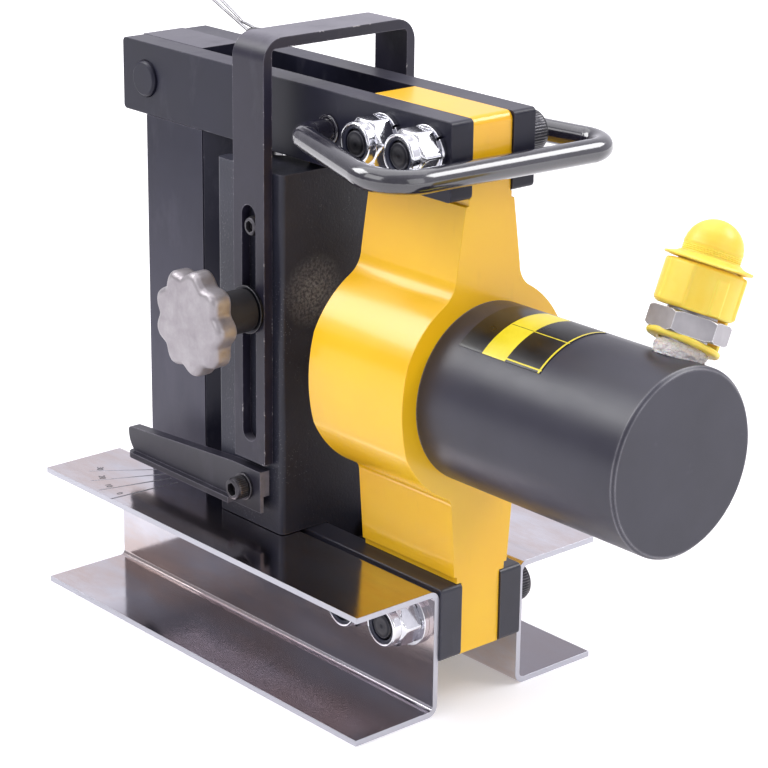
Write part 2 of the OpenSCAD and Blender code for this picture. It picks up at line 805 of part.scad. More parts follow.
module cross_pin_low() {
  color([0.3, 0.3, 0.31]) placed() translate([post_x0, 0, cross_low_z])
    ycyl(-bar_out_y - sheet_t - 0.5, bar_out_y + sheet_t + 0.5, cross_d);
}

module nose_pin() {
  c = 0.8;
  color([0.2, 0.2, 0.21]) placed() difference() {
    translate([npin_x, 0, 0]) rotate_extrude() polygon([[0, low_top + 2], [npin_d / 2 - c, low_top + 2],
      [npin_d / 2, low_top + 2 + c], [npin_d / 2, npin_top - c], [npin_d / 2 - c, npin_top], [0, npin_top]]);
    translate([npin_x, 0, clip_z]) rotate([0, clip_tilt, 0]) xcyl(-npin_d, npin_d, clip_hole);
  }
}

// Round rod along a flat path in X and Y, straight runs let a little way into true arcs
seam = 0.1;
function unit(a) = a / norm(a);
function turn(a, b, c) = let (u = unit(b - a), v = unit(c - b)) atan2(u[0] * v[1] - u[1] * v[0], u * v);
function tlen(a, b, c, r) = r * tan(abs(turn(a, b, c)) / 2);

module rod_path(p, r, d) {
  n = len(p);
  for (i = [0 : n - 2]) {
    u = unit(p[i + 1] - p[i]);
    s0 = i == 0 ? 0 : tlen(p[i - 1], p[i], p[i + 1], r[i]);
    s1 = i == n - 2 ? 0 : tlen(p[i], p[i + 1], p[i + 2], r[i + 1]);
    q = p[i] + s0 * u;
    translate([q[0], q[1], 0]) rotate([0, 0, atan2(u[1], u[0])]) rotate([0, 90, 0])
      translate([0, 0, i == 0 ? 0 : -seam])
        cylinder(h = norm(p[i + 1] - p[i]) - s0 - s1 + (i == 0 || i == n - 2 ? 1 : 2) * seam, d = d);
  }
  for (i = [1 : n - 2]) {
    u = unit(p[i] - p[i - 1]);
    t = turn(p[i - 1], p[i], p[i + 1]);
    sg = sign(t);
    q = p[i] - tlen(p[i - 1], p[i], p[i + 1], r[i]) * u + r[i] * sg * [-u[1], u[0]];
    translate([q[0], q[1], 0]) rotate([0, 0, atan2(u[1], u[0]) - sg * 90 + (sg < 0 ? t : 0)])
      rotate_extrude(angle = abs(t)) translate([r[i], 0]) circle(d = d + 0.03);
  }
}

// Spring clip: straight leg through the pin, waved leg round it, round end
module nose_pin_clip() {
  w = clip_w;
  g = npin_d / 2 + w / 2 + 0.3;
  loop = 5;
  color([0.82, 0.82, 0.84]) placed() translate([npin_x, 0, clip_z]) rotate([0, clip_tilt, 0]) {
    rod_path([[npin_d, 0], [-clip_l + 2 * loop, 0], [-clip_l, -loop], [-clip_l, loop + 1],
      [-clip_l + loop * 2, loop * 0.6 + 1], [-npin_d * 1.6, w + 0.8], [-npin_d * 0.5, g + 0.6],
      [npin_d * 0.5, g + 0.6], [npin_d * 1.1, g + 2.2]],
      [0, 3, 3, 3, 3, 3, 4, 4, 0], w);
  }
}

module strap() {
  color([0.13, 0.13, 0.14]) placed() difference() {
    yz(strap_x - strap_w / 2, strap_x + strap_w / 2) difference() {
      translate([-strap_y1, strap_z0 - 2 * strap_r])
        rrect(2 * strap_y1, strap_z1 - strap_z0 + 2 * strap_r, strap_r);
      translate([-strap_y0, strap_z0 - 3 * strap_r])
        rrect(2 * strap_y0, strap_z1 - strap_t - strap_z0 + 3 * strap_r, strap_ri);
      translate([-strap_y1 - 1, strap_z0 - 3 * strap_r]) square([2 * strap_y1 + 2, 3 * strap_r]);
    }
    xz(-strap_y1 - 1, strap_y1 + 1) translate([strap_x - slot_w / 2, slot_z0])
      rrect(slot_w, slot_l, slot_w / 2 - eps);
  }
}

module socket_screw(d, hd, hh, length) {
  difference() {
    union() {
      cylinder(h = hh, d = hd);
      translate([0, 0, -length]) cylinder(h = length + eps, d = d);
    }
    translate([0, 0, hh * 0.4]) cylinder(h = hh, d = hd * 0.56, $fn = 6);
  }
}

module guide_screws() {
  color([0.3, 0.3, 0.32]) placed() for (s = [-1, 1]) translate([strap_x, s * vee_y, guide_z])
    rotate([-s * 90, 0, 0]) socket_screw(5, guide_d, strap_t, 9.5);
}

module knob_star() {
  rl = knob_d / 2 - lobe_r;
  color([0.75, 0.74, 0.73]) placed() translate([strap_x, 0, knob_z]) xz(-knob_y, -hub_y) {
    circle(knob_d / 2 - valley);
    for (k = [0 : knob_n - 1]) rotate(knob_first + k * 360 / knob_n) translate([rl, 0]) circle(lobe_r);
  }
}

module knob_hub() {
  color([0.09, 0.09, 0.1]) placed() translate([strap_x, 0, knob_z]) difference() {
    ycyl(-hub_y, -kwash_y, hub_d);
    ycyl(-hub_y - 1, -kwash_y + 1, stud_d + 2 * run_fit);
  }
}

module knob_stud() {
  color([0.5, 0.5, 0.52]) placed() translate([strap_x, 0, knob_z]) ycyl(-hub_y, -vee_y + stud_in, stud_d);
}

module knob_washer() {
  color([0.15, 0.15, 0.16]) placed() translate([strap_x, 0, knob_z]) difference() {
    ycyl(-kwash_y, -kwash_y + kwash_t, hub_d + 2.4);
    ycyl(-kwash_y - 1, -strap_y1 + 1, stud_d + 2 * run_fit);
  }
}

// Side view of the pointer around its pivot
module ptr_outline() {
  tip_h = ptr_top - ptr_drop;
  difference() {
    polygon([[ptr_tail, -ptr_foot], [ptr_tail, ptr_top], [-ptr_l * 0.1, ptr_top], [-ptr_l, tip_h],
      [-ptr_l, -ptr_foot]]);
    difference() {
      translate([-ptr_l - 1, -ptr_foot - 1]) square([tip_r + 1, tip_r + 1]);
      translate([-ptr_l + tip_r, -ptr_foot + tip_r]) circle(tip_r);
    }
    difference() {
      translate([-ptr_l - 1, tip_h - tip_top_r]) square([tip_top_r + 1, tip_top_r + 1]);
      translate([-ptr_l + tip_top_r, tip_h - tip_top_r]) circle(tip_top_r);
    }
  }
}

module pointer() {
  color([0.1, 0.1, 0.11]) placed() difference() {
    union() {
      translate([ptr_x, 0, ptr_z]) xz(-ptr_y1, -ptr_y0) ptr_outline();
      // Foot lip with a rounded tip
      translate([ptr_x, 0, ptr_z - ptr_foot]) linear_extrude(lip_t) {
        translate([-ptr_l + 6, -ptr_y1 - lip_out]) square([ptr_l - 14, ptr_t + lip_out]);
        translate([-ptr_l + 6, -ptr_y1 - lip_out + (ptr_t + lip_out) / 2]) circle((ptr_t + lip_out) / 2);
      }
    }
    translate([ptr_x, 0, ptr_z]) ycyl(-foot_out_y, 0, ps_d + 2 * run_fit);
    // Notch at the back of the tail
    translate([ptr_x, 0, ptr_z])
      box(ptr_tail - tail_cut, ptr_tail + 1, -ptr_y1 + tab_t, -ptr_y0 + 1, -ptr_foot - 1, -tail_low);
  }
}

module pointer_screw() {
  color([0.32, 0.32, 0.34]) placed() translate([ptr_x, -ptr_y1 - psw_t, ptr_z]) rotate([90, 0, 0])
    socket_screw(ps_d, ps_head, ps_head_h, ptr_y1 - vee_y + psw_t + 11.5);
}

module pointer_washer() {
  color([0.35, 0.35, 0.36]) placed() translate([ptr_x, 0, ptr_z]) difference() {
    ycyl(-ptr_y1 - psw_t, -ptr_y1, ps_head + 2);
    ycyl(-ptr_y1 - psw_t - 1, -ptr_y1 + 1, ps_d + 2 * run_fit);
  }
}

// Socket bolt from the far side, seat of its head at y1, its end at y0
module socket_bolt(y0, y1) {
  c = 1.2;
  difference() {
    union() {
      ycyl(y0 + c, y1 + eps, bolt_d);
      translate([0, y0, 0]) rotate([-90, 0, 0]) cylinder(h = c, d1 = bolt_d - 2 * c, d2 = bolt_d);
      ycyl(y1, y1 + head_h - c, head_d);
      translate([0, y1 + head_h - c, 0]) rotate([-90, 0, 0])
        cylinder(h = c, d1 = head_d, d2 = head_d - 2 * c);
    }
    translate([0, y1 + head_h * 0.4, 0]) rotate([-90, 0, 0])
      cylinder(h = head_h, d = sock_af / cos(30), $fn = 6);
  }
}

// Hex nut with its bearing face at y1 and chamfered corners, towards -Y
module hex_nut(y1) {
  hex_h = nut_h - nut_col_h;
  difference() {
    translate([0, y1, 0]) rotate([90, 0, 0]) union() {
      intersection() {
        cylinder(h = hex_h, d = nut_af / cos(30), $fn = 6);
        union() {
          cylinder(h = hex_h - nut_cham, d = nut_af * 1.13);
          translate([0, 0, hex_h - nut_cham]) cylinder(h = nut_cham, d1 = nut_af * 1.13, d2 = nut_af * 0.97);
        }
      }
      cylinder(h = nut_h - nut_cham, d = nut_face);
      translate([0, 0, nut_h - nut_cham]) cylinder(h = nut_cham, d1 = nut_face, d2 = nut_face - 2 * nut_cham);
    }
    ycyl(y1 - nut_h - 1, y1 + 1, bolt_d);
  }
}

module ring_washer(y0, d) {
  difference() {
    ycyl(y0, y0 + wash_t, d);
    ycyl(y0 - 1, y0 + wash_t + 1, bolt_hole);
  }
}

module at_top() {
  for (k = [0, 1]) translate([bolt_top_x - k * bolt_pitch, 0, bolt_top_z]) children();
}

module at_low() {
  for (k = [0, 1]) translate([bolt_low_x - k * bolt_pitch, 0, cross_low_z]) children();
}

module bolts_top() {
  color([0.15, 0.15, 0.16]) placed() at_top()
    socket_bolt(-bar_out_y - wash_t - nut_h + bolt_sink, bar_out_y);
}

module nuts_top() {
  color([0.8, 0.81, 0.82]) placed() at_top() hex_nut(-bar_out_y - wash_t);
}

module washers_top() {
  color([0.8, 0.81, 0.82]) placed() at_top() difference() {
    ring_washer(-bar_out_y - wash_t, split_d);
    translate([0, -bar_out_y - wash_t / 2, 0]) rotate([0, 50, 0])
      translate([-split_gap / 2, -wash_t, 0]) cube([split_gap, 2 * wash_t, split_d]);
  }
}

module bolts_low() {
  color([0.15, 0.15, 0.16]) placed() at_low()
    socket_bolt(-bar_out_y - sheet_t - wash_t - nut_h + bolt_sink, bar_out_y + sheet_t);
}

module nuts_low() {
  color([0.8, 0.81, 0.82]) placed() at_low() hex_nut(-bar_out_y - sheet_t - wash_t);
}

module washers_low() {
  color([0.8, 0.81, 0.82]) placed() at_low() ring_washer(-bar_out_y - sheet_t - wash_t, wash_d);
}

module bail() {
  y_end = bar_out_y - bail_seat + 0.3;
  // The skewed grip keeps its gap where it passes the outer face of the near bar
  near_x = bail_run - bail_skew * (bail_y1 / 2 - bar_out_y) / bail_y1;
  far_x = near_x + bail_skew;
  color([0.08, 0.08, 0.09]) placed() translate([bail_x, 0, bail_z]) rotate([0, bail_tilt, 0])
    rod_path([[0, -y_end], [0, -bail_y0 / 2], [near_x, -bail_y1 / 2],
      [far_x, bail_y0 / 2 + bail_out * far_x / bail_run], [0, bail_y0 / 2], [0, y_end]],
      [0, ear_r, bail_r, bail_r_far, ear_r, 0], bail_d);
}

module bail_collars() {
  color([0.1, 0.1, 0.11]) placed() translate([bail_x, 0, bail_z]) for (s = [0, 1])
    mirror([0, s, 0]) difference() {
    ycyl(-bar_out_y - collar_t, -bar_out_y, collar_d);
    ycyl(-bar_out_y - collar_t - 1, -bar_out_y + 1, bail_d + 2 * bail_fit);
  }
}

module coupler_stem() {
  color([0.78, 0.79, 0.8]) placed() difference() {
    union() {
      on_coupler(bore_d / 2 + 1.5) cylinder(h = cr_nip - bore_d / 2 - 1.5, d = cpl_thr);
      on_coupler(cr_nip) cylinder(h = nip_l - 5, d = nip_d);
      on_coupler(cr_nip + nip_l - 5) cylinder(h = 5, d = nip_d - 5);
    }
    on_coupler(0) cylinder(h = cr_nip + nip_l + 1, d = 7);
  }
}

module thread_tape() {
  color([0.93, 0.87, 0.86]) placed() difference() {
    on_coupler(barrel_d / 2 - 1.6) cylinder(h = cr_ring - barrel_d / 2 + 1.6, d = cpl_thr + 2 * tape_t);
    on_coupler(barrel_d / 2 - 3) cylinder(h = 20, d = cpl_thr);
    translate([0, 0, axis_z]) xcyl(cpl_x - 30, cpl_x + 30, barrel_d);
  }
}

module coupler_nut() {
  color([0.76, 0.77, 0.78]) placed() difference() {
    on_coupler(cr_nut) intersection() {
      rotate([0, 0, cnut_turn]) cylinder(h = cnut_h, d = cnut_af / cos(30), $fn = 6);
      union() {
        cylinder(h = 1, d1 = cnut_af * 1.06, d2 = cnut_af * 1.16);
        translate([0, 0, 1]) cylinder(h = cnut_h - 2, d = cnut_af * 1.2);
        translate([0, 0, cnut_h - 1]) cylinder(h = 1, d1 = cnut_af * 1.16, d2 = cnut_af * 1.06);
      }
    }
    on_coupler(cr_nut - 1) cylinder(h = cnut_h + 2, d = cpl_thr);
  }
}

// Leash: ring on the neck, strap up the back, ring under the dome
module leash() {
  r_out = disc_d / 2 + 0.4;
  color([0.95, 0.85, 0.1]) placed() {
    difference() {
      on_coupler(cr_ring) cylinder(h = ring_t, d = ring_d);
      on_coupler(cr_ring - 1) cylinder(h = ring_t + 2, d = cpl_thr);
    }
    difference() {
      on_coupler(cr_disc) cylinder(h = disc_t, d = disc_d);
      on_coupler(cr_disc - 1) cylinder(h = disc_t + 2, r = dome_r + cap_play);
    }
    on_coupler(0) rotate([0, 0, leash_turn]) {
      box(ring_d / 2 - 2, r_out + leash_t, -leash_w / 2, leash_w / 2, cr_ring, cr_ring + leash_t);
      box(r_out, r_out + leash_t, -leash_w / 2, leash_w / 2, cr_ring, cr_disc + disc_t);
      box(disc_d / 2 - 1.5, r_out + leash_t, -leash_w / 2, leash_w / 2, cr_disc, cr_disc + disc_t);
    }
  }
}

module dust_cap() {
  ri = nip_d / 2 + cap_play;
  color([0.96, 0.86, 0.12]) placed() on_coupler(0) difference() {
    union() {
      translate([0, 0, cr_cap]) intersection() {
        cylinder(h = cap_h - cap_play, d = cap_d);
        union() {
          cylinder(h = cap_h, d = cap_d - 1.6);
          for (k = [0 : cap_n - 1]) rotate([0, 0, k * 360 / cap_n])
            translate([0, -1.6, 0]) cube([cap_d, 3.2, cap_h]);
        }
      }
      translate([0, 0, cr_disc - 1]) cylinder(h = disc_t + dome_h + 1, r = dome_r);
      translate([0, 0, cr_dome + dome_h]) intersection() {
        sphere(dome_r);
        translate([0, 0, dome_r]) cube(2 * dome_r, center = true);
      }
    }
    translate([0, 0, cr_cap - 1]) cylinder(h = nip_l + 1.6, r = ri);
  }
}

module label_plate() {
  color([0.2, 0.2, 0.2]) placed() translate([cast_x1 + label_in, 0, axis_z]) rotate([0, 90, 0])
    rotate([0, 0, 180 - label_a0]) rotate_extrude(angle = label_a)
      translate([barrel_d / 2 + glue_t, 0]) square([label_t, label_l]);
}

foot_near();
foot_far();
bar_top_near();
bar_top_far();
bar_low_near();
bar_low_far();
casting();
barrel();
guide_bush();
rod_seal();
ram();
piston_seal();
return_spring();
vee_block();
post();
nose();
cross_pin_top();
cross_pin_low();
nose_pin();
nose_pin_clip();
strap();
guide_screws();
knob_star();
knob_hub();
knob_stud();
knob_washer();
pointer();
pointer_screw();
pointer_washer();
bolts_top();
nuts_top();
washers_top();
bolts_low();
nuts_low();
washers_low();
bail();
bail_collars();
coupler_stem();
thread_tape();
coupler_nut();
leash();
dust_cap();
label_plate();
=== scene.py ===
import math

import bmesh
import bpy
from mathutils import Matrix, Vector, noise

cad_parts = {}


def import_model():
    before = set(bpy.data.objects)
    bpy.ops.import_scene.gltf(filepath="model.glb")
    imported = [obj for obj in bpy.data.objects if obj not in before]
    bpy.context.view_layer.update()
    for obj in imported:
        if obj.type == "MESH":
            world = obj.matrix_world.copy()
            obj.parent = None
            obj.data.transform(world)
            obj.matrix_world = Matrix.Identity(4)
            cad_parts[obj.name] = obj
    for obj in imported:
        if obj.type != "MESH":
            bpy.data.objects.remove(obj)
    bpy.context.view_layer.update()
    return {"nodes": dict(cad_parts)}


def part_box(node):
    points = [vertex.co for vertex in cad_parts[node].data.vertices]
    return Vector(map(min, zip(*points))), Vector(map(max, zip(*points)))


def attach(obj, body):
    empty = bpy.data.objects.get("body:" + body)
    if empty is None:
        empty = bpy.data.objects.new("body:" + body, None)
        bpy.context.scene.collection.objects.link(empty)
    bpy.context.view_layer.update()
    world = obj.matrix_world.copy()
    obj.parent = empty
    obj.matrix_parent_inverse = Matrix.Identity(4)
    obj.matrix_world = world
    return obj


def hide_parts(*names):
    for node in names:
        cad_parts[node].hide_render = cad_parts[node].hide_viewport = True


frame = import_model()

NODES = frame["nodes"]
SCENE = bpy.context.scene
MM = 0.001
TAU = 2 * math.pi

# Sizes repeated from the part's source, in mm
BOLT_R = 6.0
HEAD_R = 9.0
HEAD_H = 12.0
SOCKET_AF = 10.0
THREAD_PITCH = 1.75
THREAD_DEPTH = 0.65
LOCKNUT_AF = 18.6
LOCKNUT_FACE = 17.6
LOCKNUT_COLLAR = 4.6
LOCKNUT_CORNER = LOCKNUT_AF * 1.13 / 2
POINTER_HEAD_H = 6.0
POINTER_SHANK_R = 3.0
GUIDE_HEAD_H = 4.5
GUIDE_SHANK_R = 2.5
GUIDE_SHANK_L = 9.5
KNOB_LOBES = 9
KNOB_FIRST = 39.5
LEASH_TURN = 92.0
BARREL_R = 38.0
AXIS_Z = 138.7
MID_Y = 3.8
COUPLER_IN = 18.4
COUPLER_LEAN = 23.0
TAPE_L = 5.0
RING_T = 3.2
NUT_H = 8.4
CAP_GAP = 1.0
CAP_H = 18.3
CAP_R = 16.2
DISC_T = 3.4
DISC_R = 17.7
DOME_R = 11.8
DOME_H = 3.0
CR_RING = BARREL_R + TAPE_L
CR_NUT = CR_RING + RING_T
CR_NIP = CR_NUT + NUT_H
CR_CAP = CR_NIP + CAP_GAP
CR_DISC = CR_CAP + CAP_H
CR_DOME = CR_DISC + DISC_T

# Sizes of the detail pieces alone, in mm
KNOB_TIP_R = 22.9
KNOB_ROOT_R = 20.0
KNOB_RIM = 3.4
KNOB_WAVE = 0.22
CAP_BASE_R = CAP_R - 0.95
LEASH_HALF_W = 4.3
LEASH_T = 1.7
LEASH_SAG = 8.5


def linear(red, green, blue):
    """An sRGB colour from 0 to 255 as the linear colour that a shader socket takes."""
    parts = []
    for value in (red, green, blue):
        v = value / 255
        parts.append(v / 12.92 if v <= 0.04045 else ((v + 0.055) / 1.055) ** 2.4)
    return (*parts, 1.0)


# Finishes
class Graph:
    """An emptied node tree and short calls that fill it."""

    def __init__(self, tree):
        self.tree = tree
        tree.nodes.clear()

    def node(self, kind, inputs=None, **props):
        made = self.tree.nodes.new(kind)
        for key, value in props.items():
            setattr(made, key, value)
        for key, value in (inputs or {}).items():
            self.plug(made.inputs[key], value)
        return made

    def plug(self, socket, value):
        if isinstance(value, bpy.types.NodeSocket):
            self.tree.links.new(value, socket)
        else:
            socket.default_value = value

    def span(self, value, low, high, to_low=0.0, to_high=1.0):
        """The value taken from one range to another, and kept within it."""
        return self.node("ShaderNodeMapRange", {
            0: value, 1: low, 2: high, 3: to_low, 4: to_high,
        }, clamp=True).outputs[0]

    def calc(self, operation, a, b=0.0):
        return self.node("ShaderNodeMath", {0: a, 1: b}, operation=operation).outputs[0]

    def vector(self, operation, a, b):
        """A number taken from two vectors, such as their distance."""
        return self.node("ShaderNodeVectorMath", {0: a, 1: b}, operation=operation).outputs["Value"]

    def mix(self, factor, a, b):
        """From colour a at factor 0 to colour b at factor 1."""
        return self.node("ShaderNodeMix", {0: factor, 6: a, 7: b}, data_type="RGBA").outputs[2]


class Finish(Graph):
    """One Principled material, built from short calls. Patterns lie in object coordinates."""

    def __init__(self, name, **sockets):
        self.mat = bpy.data.materials.new(name)
        self.mat.use_nodes = True
        super().__init__(self.mat.node_tree)
        self.shader = self.node("ShaderNodeBsdfPrincipled")
        out = self.node("ShaderNodeOutputMaterial")
        self.tree.links.new(self.shader.outputs[0], out.inputs[0])
        self.place = self.node("ShaderNodeTexCoord").outputs["Object"]
        for key, value in sockets.items():
            self.set(key.replace("_", " ").title().replace("Ior", "IOR"), value)

    def set(self, key, value):
        self.plug(self.shader.inputs[key], value)

    def noise(self, scale, detail=4.0, rough=0.55, stretch=None, shift=0.0):
        where = self.place
        if stretch or shift:
            where = self.node("ShaderNodeMapping", {
                "Vector": where, "Location": (shift, shift, shift), "Scale": stretch or (1, 1, 1),
            }).outputs[0]
        return self.node("ShaderNodeTexNoise", {
            "Vector": where, "Scale": scale, "Detail": detail, "Roughness": rough,
        }).outputs[0]

    def cells(self, scale, feature="F1"):
        return self.node("ShaderNodeTexVoronoi", {"Vector": self.place, "Scale": scale},
                         feature=feature).outputs[0]

    def along(self, axis):
        """Place on the object along an axis, in metres."""
        return self.node("ShaderNodeSeparateXYZ", {0: self.place}).outputs[axis]

    def turned_to(self, axis):
        """How far a face looks along an axis of the object: 1 straight along it."""
        normal = self.node("ShaderNodeTexCoord").outputs["Normal"]
        return self.node("ShaderNodeSeparateXYZ", {0: normal}).outputs[axis]

    def edges(self, radius, low=0.004, high=0.06):
        """From 0 on open faces to 1 along arrises."""
        soft = self.node("ShaderNodeBevel", {"Radius": radius}, samples=6).outputs[0]
        true = self.node("ShaderNodeNewGeometry").outputs["True Normal"]
        turn = self.calc("SUBTRACT", 1.0, self.vector("DOT_PRODUCT", soft, true))
        return self.span(turn, low, high)

    def bump(self, *layers):
        """Layers of (height, depth in metres, strength), the coarse ones first."""
        normal = None
        for height, depth, strength in layers:
            made = self.node("ShaderNodeBump", {
                "Height": height, "Distance": depth, "Strength": strength,
            })
            if normal is not None:
                self.plug(made.inputs["Normal"], normal)
            normal = made.outputs[0]
        self.set("Normal", normal)


# Bare steel where black paint is chipped or scratched, and how wide along an arris, in metres
BARE = linear(168, 166, 176)
RUBBED_R = 0.0007
CHIPPED_R = 0.00091


def black_finish(name, dark, light, rough=0.36, bare=BARE, grain=1.0, worn=0.5, tops=0.0, chip=0.66,
                 bright_end=0.0, painted_floor_light=0.0, shine=0.5, **sockets):
    """Black paint or coating: clouded, dusty, rubbed lighter and chipped along its edges, with painted
    top light on its upward faces and painted light from the floor near its feet. tops sets the painted
    top light and painted_floor_light the painted floor light, bright_end the lighter patches on faces
    towards +X, worn how far the edges are rubbed and chip how rarely they are chipped."""
    f = Finish(name, specular_ior_level=shine, **sockets)
    cloud = f.noise(16, 4, 0.6)
    dust = f.noise(70, 6, 0.65, (1, 1, 0.4), 0.3)
    grit = f.noise(1400, 3, 0.6)
    patch = f.noise(240, 4, 0.7, None, 1.7)
    scratch = f.noise(120, 5, 0.7, (1, 9, 0.5), 2.2)
    base = f.mix(f.span(cloud, 0.35, 0.68), dark, light)
    dusty = f.calc("MULTIPLY", f.span(dust, 0.55, 0.8), 0.18)
    # Upward faces are painted lighter: a painted top light, broken by the dust pattern
    upward = f.span(f.turned_to(2), 0.5, 0.98)
    painted_top_light = f.calc("MULTIPLY", upward, f.span(dust, 0.3, 0.7, 0.55 * tops, tops))
    base = f.mix(f.calc("MAXIMUM", dusty, painted_top_light), base, linear(122, 119, 130))
    # Painted light from the floor: lighter towards the feet, broken by the dust pattern
    if painted_floor_light:
        low = f.span(f.along(2), 0.21, 0.08, 0.0, painted_floor_light)
        floor_lit = f.calc("MULTIPLY", low, f.span(dust, 0.3, 0.6, 0.75, 1.0))
        base = f.mix(floor_lit, base, linear(104, 102, 116))
    # Lighter in patches on faces turned towards +X
    if bright_end:
        end = f.span(f.turned_to(0), 0.85, 0.97)
        end_patches = f.calc("MULTIPLY", end, f.span(patch, 0.25, 0.6, 0.6, 1.0))
        base = f.mix(f.calc("MULTIPLY", end_patches, bright_end), base, linear(150, 144, 150))
    arris = f.edges(RUBBED_R)
    rubbed = f.calc("MULTIPLY", arris, f.span(patch, 0.3, 0.75, 0.2 * worn, 0.8 * worn))
    base = f.mix(rubbed, base, linear(126, 123, 136))
    chipped = f.calc("MULTIPLY", f.edges(CHIPPED_R, 0.02, 0.05), f.span(patch, chip, chip + 0.04))
    base = f.mix(f.calc("MULTIPLY", chipped, worn), base, bare)
    line = f.calc("MULTIPLY", f.span(scratch, 0.715, 0.73), 0.3 * worn)
    f.set("Base Color", f.mix(line, base, bare))
    mottled = f.span(cloud, 0.3, 0.7, rough - 0.05, rough + 0.06)
    f.set("Roughness", f.calc("ADD", mottled, f.span(dust, 0.5, 0.8, 0.0, 0.12)))
    f.bump((cloud, 0.0006, 0.12), (patch, 0.0001, 0.08 * grain), (grit, 0.00006, 0.25 * grain))
    return f.mat


# Spot on the front of the V block, beside the boss, where a painted highlight stands for the light its
# blasted skin catches
PAINTED_GLINT_AT = (-0.030, -0.0155, 0.1645)


def forged_black():
    """The V block: a coarse blasted skin under black, with painted glitter specks and a painted
    highlight beside the boss.
    """
    f = Finish("forged_black", specular_ior_level=0.4)
    cloud = f.noise(14, 4, 0.6)
    grit = f.noise(700, 4, 0.7)
    speck = f.cells(900)
    rub = f.noise(40, 6, 0.7, (1, 1, 0.5), 4.0)
    base = f.mix(f.span(cloud, 0.35, 0.7), linear(31, 32, 45), linear(47, 48, 62))
    # Painted glitter: small light specks where the rub pattern allows
    shine = f.calc("MULTIPLY", f.span(speck, 0.2, 0.06), f.span(rub, 0.46, 0.6))
    base = f.mix(f.calc("MULTIPLY", shine, 0.7), base, linear(158, 157, 166))
    # Painted highlight: a lighter patch with grit round the spot beside the boss
    close = f.span(f.vector("DISTANCE", f.place, PAINTED_GLINT_AT), 0.003, 0.017, 1.0, 0.0)
    painted_glint = f.calc("MULTIPLY", close, f.span(grit, 0.42, 0.6, 0.15, 1.0))
    base = f.mix(f.calc("MULTIPLY", painted_glint, 0.75), base, linear(150, 148, 152))
    arris = f.calc("MULTIPLY", f.edges(0.0009), f.span(grit, 0.35, 0.7, 0.15, 0.6))
    f.set("Base Color", f.mix(arris, base, linear(112, 109, 120)))
    f.set("Roughness", f.span(rub, 0.35, 0.7, 0.5, 0.36))
    f.bump((cloud, 0.001, 0.15), (grit, 0.0003, 0.45), (speck, 0.0001, 0.25))
    return f.mat


def zinc_sheet():
    """Bright zinc plate on rolled sheet: wavy reflections, passivation bloom, rolling lines, specks."""
    f = Finish("zinc_sheet", metallic=1.0)
    wave = f.noise(22, 2, 0.4, (0.5, 1, 1))
    cloud = f.noise(13, 5, 0.6, (0.6, 1, 1), 1.0)
    roll = f.noise(160, 5, 0.6, (0.06, 1, 1), 2.0)
    stain = f.noise(30, 6, 0.7, (0.35, 1, 1), 5.0)
    speck = f.noise(420, 2, 0.5, None, 3.0)
    base = f.mix(f.span(cloud, 0.35, 0.7), linear(190, 187, 194), linear(222, 220, 227))
    warm = f.calc("MULTIPLY", f.span(stain, 0.42, 0.62), 0.6)
    base = f.mix(warm, base, linear(200, 178, 168))
    base = f.mix(f.calc("MULTIPLY", f.span(roll, 0.55, 0.75), 0.25), base, linear(160, 162, 170))
    base = f.mix(f.span(speck, 0.775, 0.79), base, linear(90, 84, 80))
    # The lower flange's upper side is painted darker, a painted shade and dark reflection between the
    # flanges, except at its rear end
    floor_of = f.calc("MULTIPLY", f.span(f.turned_to(2), 0.8, 0.95), f.span(f.along(2), 0.02, 0.01))
    ragged = f.calc("ADD", f.along(0), f.span(cloud, 0.3, 0.7, 0.0, 0.02))
    painted_flange_shade = f.calc("MULTIPLY", floor_of, f.span(ragged, -0.115, -0.08))
    base = f.mix(f.calc("MULTIPLY", painted_flange_shade, 0.85), base, linear(124, 120, 128))
    # The sheared edges show a greyer cut
    near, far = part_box("foot_near"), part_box("foot_far")
    skin = 0.2 * MM
    cut = f.calc("LESS_THAN", f.along(1), near[0].y + skin)
    for value, limit, side in ((f.along(1), far[1].y - skin, "GREATER_THAN"),
                               (f.along(0), near[0].x + skin, "LESS_THAN"),
                               (f.along(0), near[1].x - skin, "GREATER_THAN")):
        cut = f.calc("MAXIMUM", cut, f.calc(side, value, limit))
    arris = f.calc("MAXIMUM", cut, f.edges(0.0006))
    f.set("Base Color", f.mix(arris, base, linear(190, 190, 198)))
    rough = f.calc("ADD", f.span(stain, 0.4, 0.75, 0.09, 0.19), f.span(roll, 0.4, 0.8, 0.0, 0.06))
    f.set("Roughness", f.calc("ADD", rough, f.calc("MULTIPLY", arris, 0.3)))
    f.bump((wave, 0.0012, 0.10), (cloud, 0.0005, 0.06), (roll, 0.00004, 0.10), (speck, 0.00004, 0.1))
    return f.mat


def zinc_turned(name, light, dark, rough, stretch=None):
    """Machined and zinc plated steel: fine tool marks, thin wear, bright arrises."""
    f = Finish(name, metallic=1.0)
    cloud = f.noise(60, 4, 0.6)
    tool = f.noise(900, 4, 0.6, stretch)
    base = f.mix(f.span(cloud, 0.35, 0.7), dark, light)
    arris = f.edges(0.0005)
    f.set("Base Color", f.mix(arris, base, linear(244, 244, 246)))
    f.set("Roughness", f.calc("ADD", f.span(cloud, 0.3, 0.75, rough - 0.03, rough + 0.07),
                              f.span(tool, 0.4, 0.8, 0.0, 0.08)))
    f.bump((cloud, 0.0003, 0.12), (tool, 0.00005, 0.25))
    return f.mat


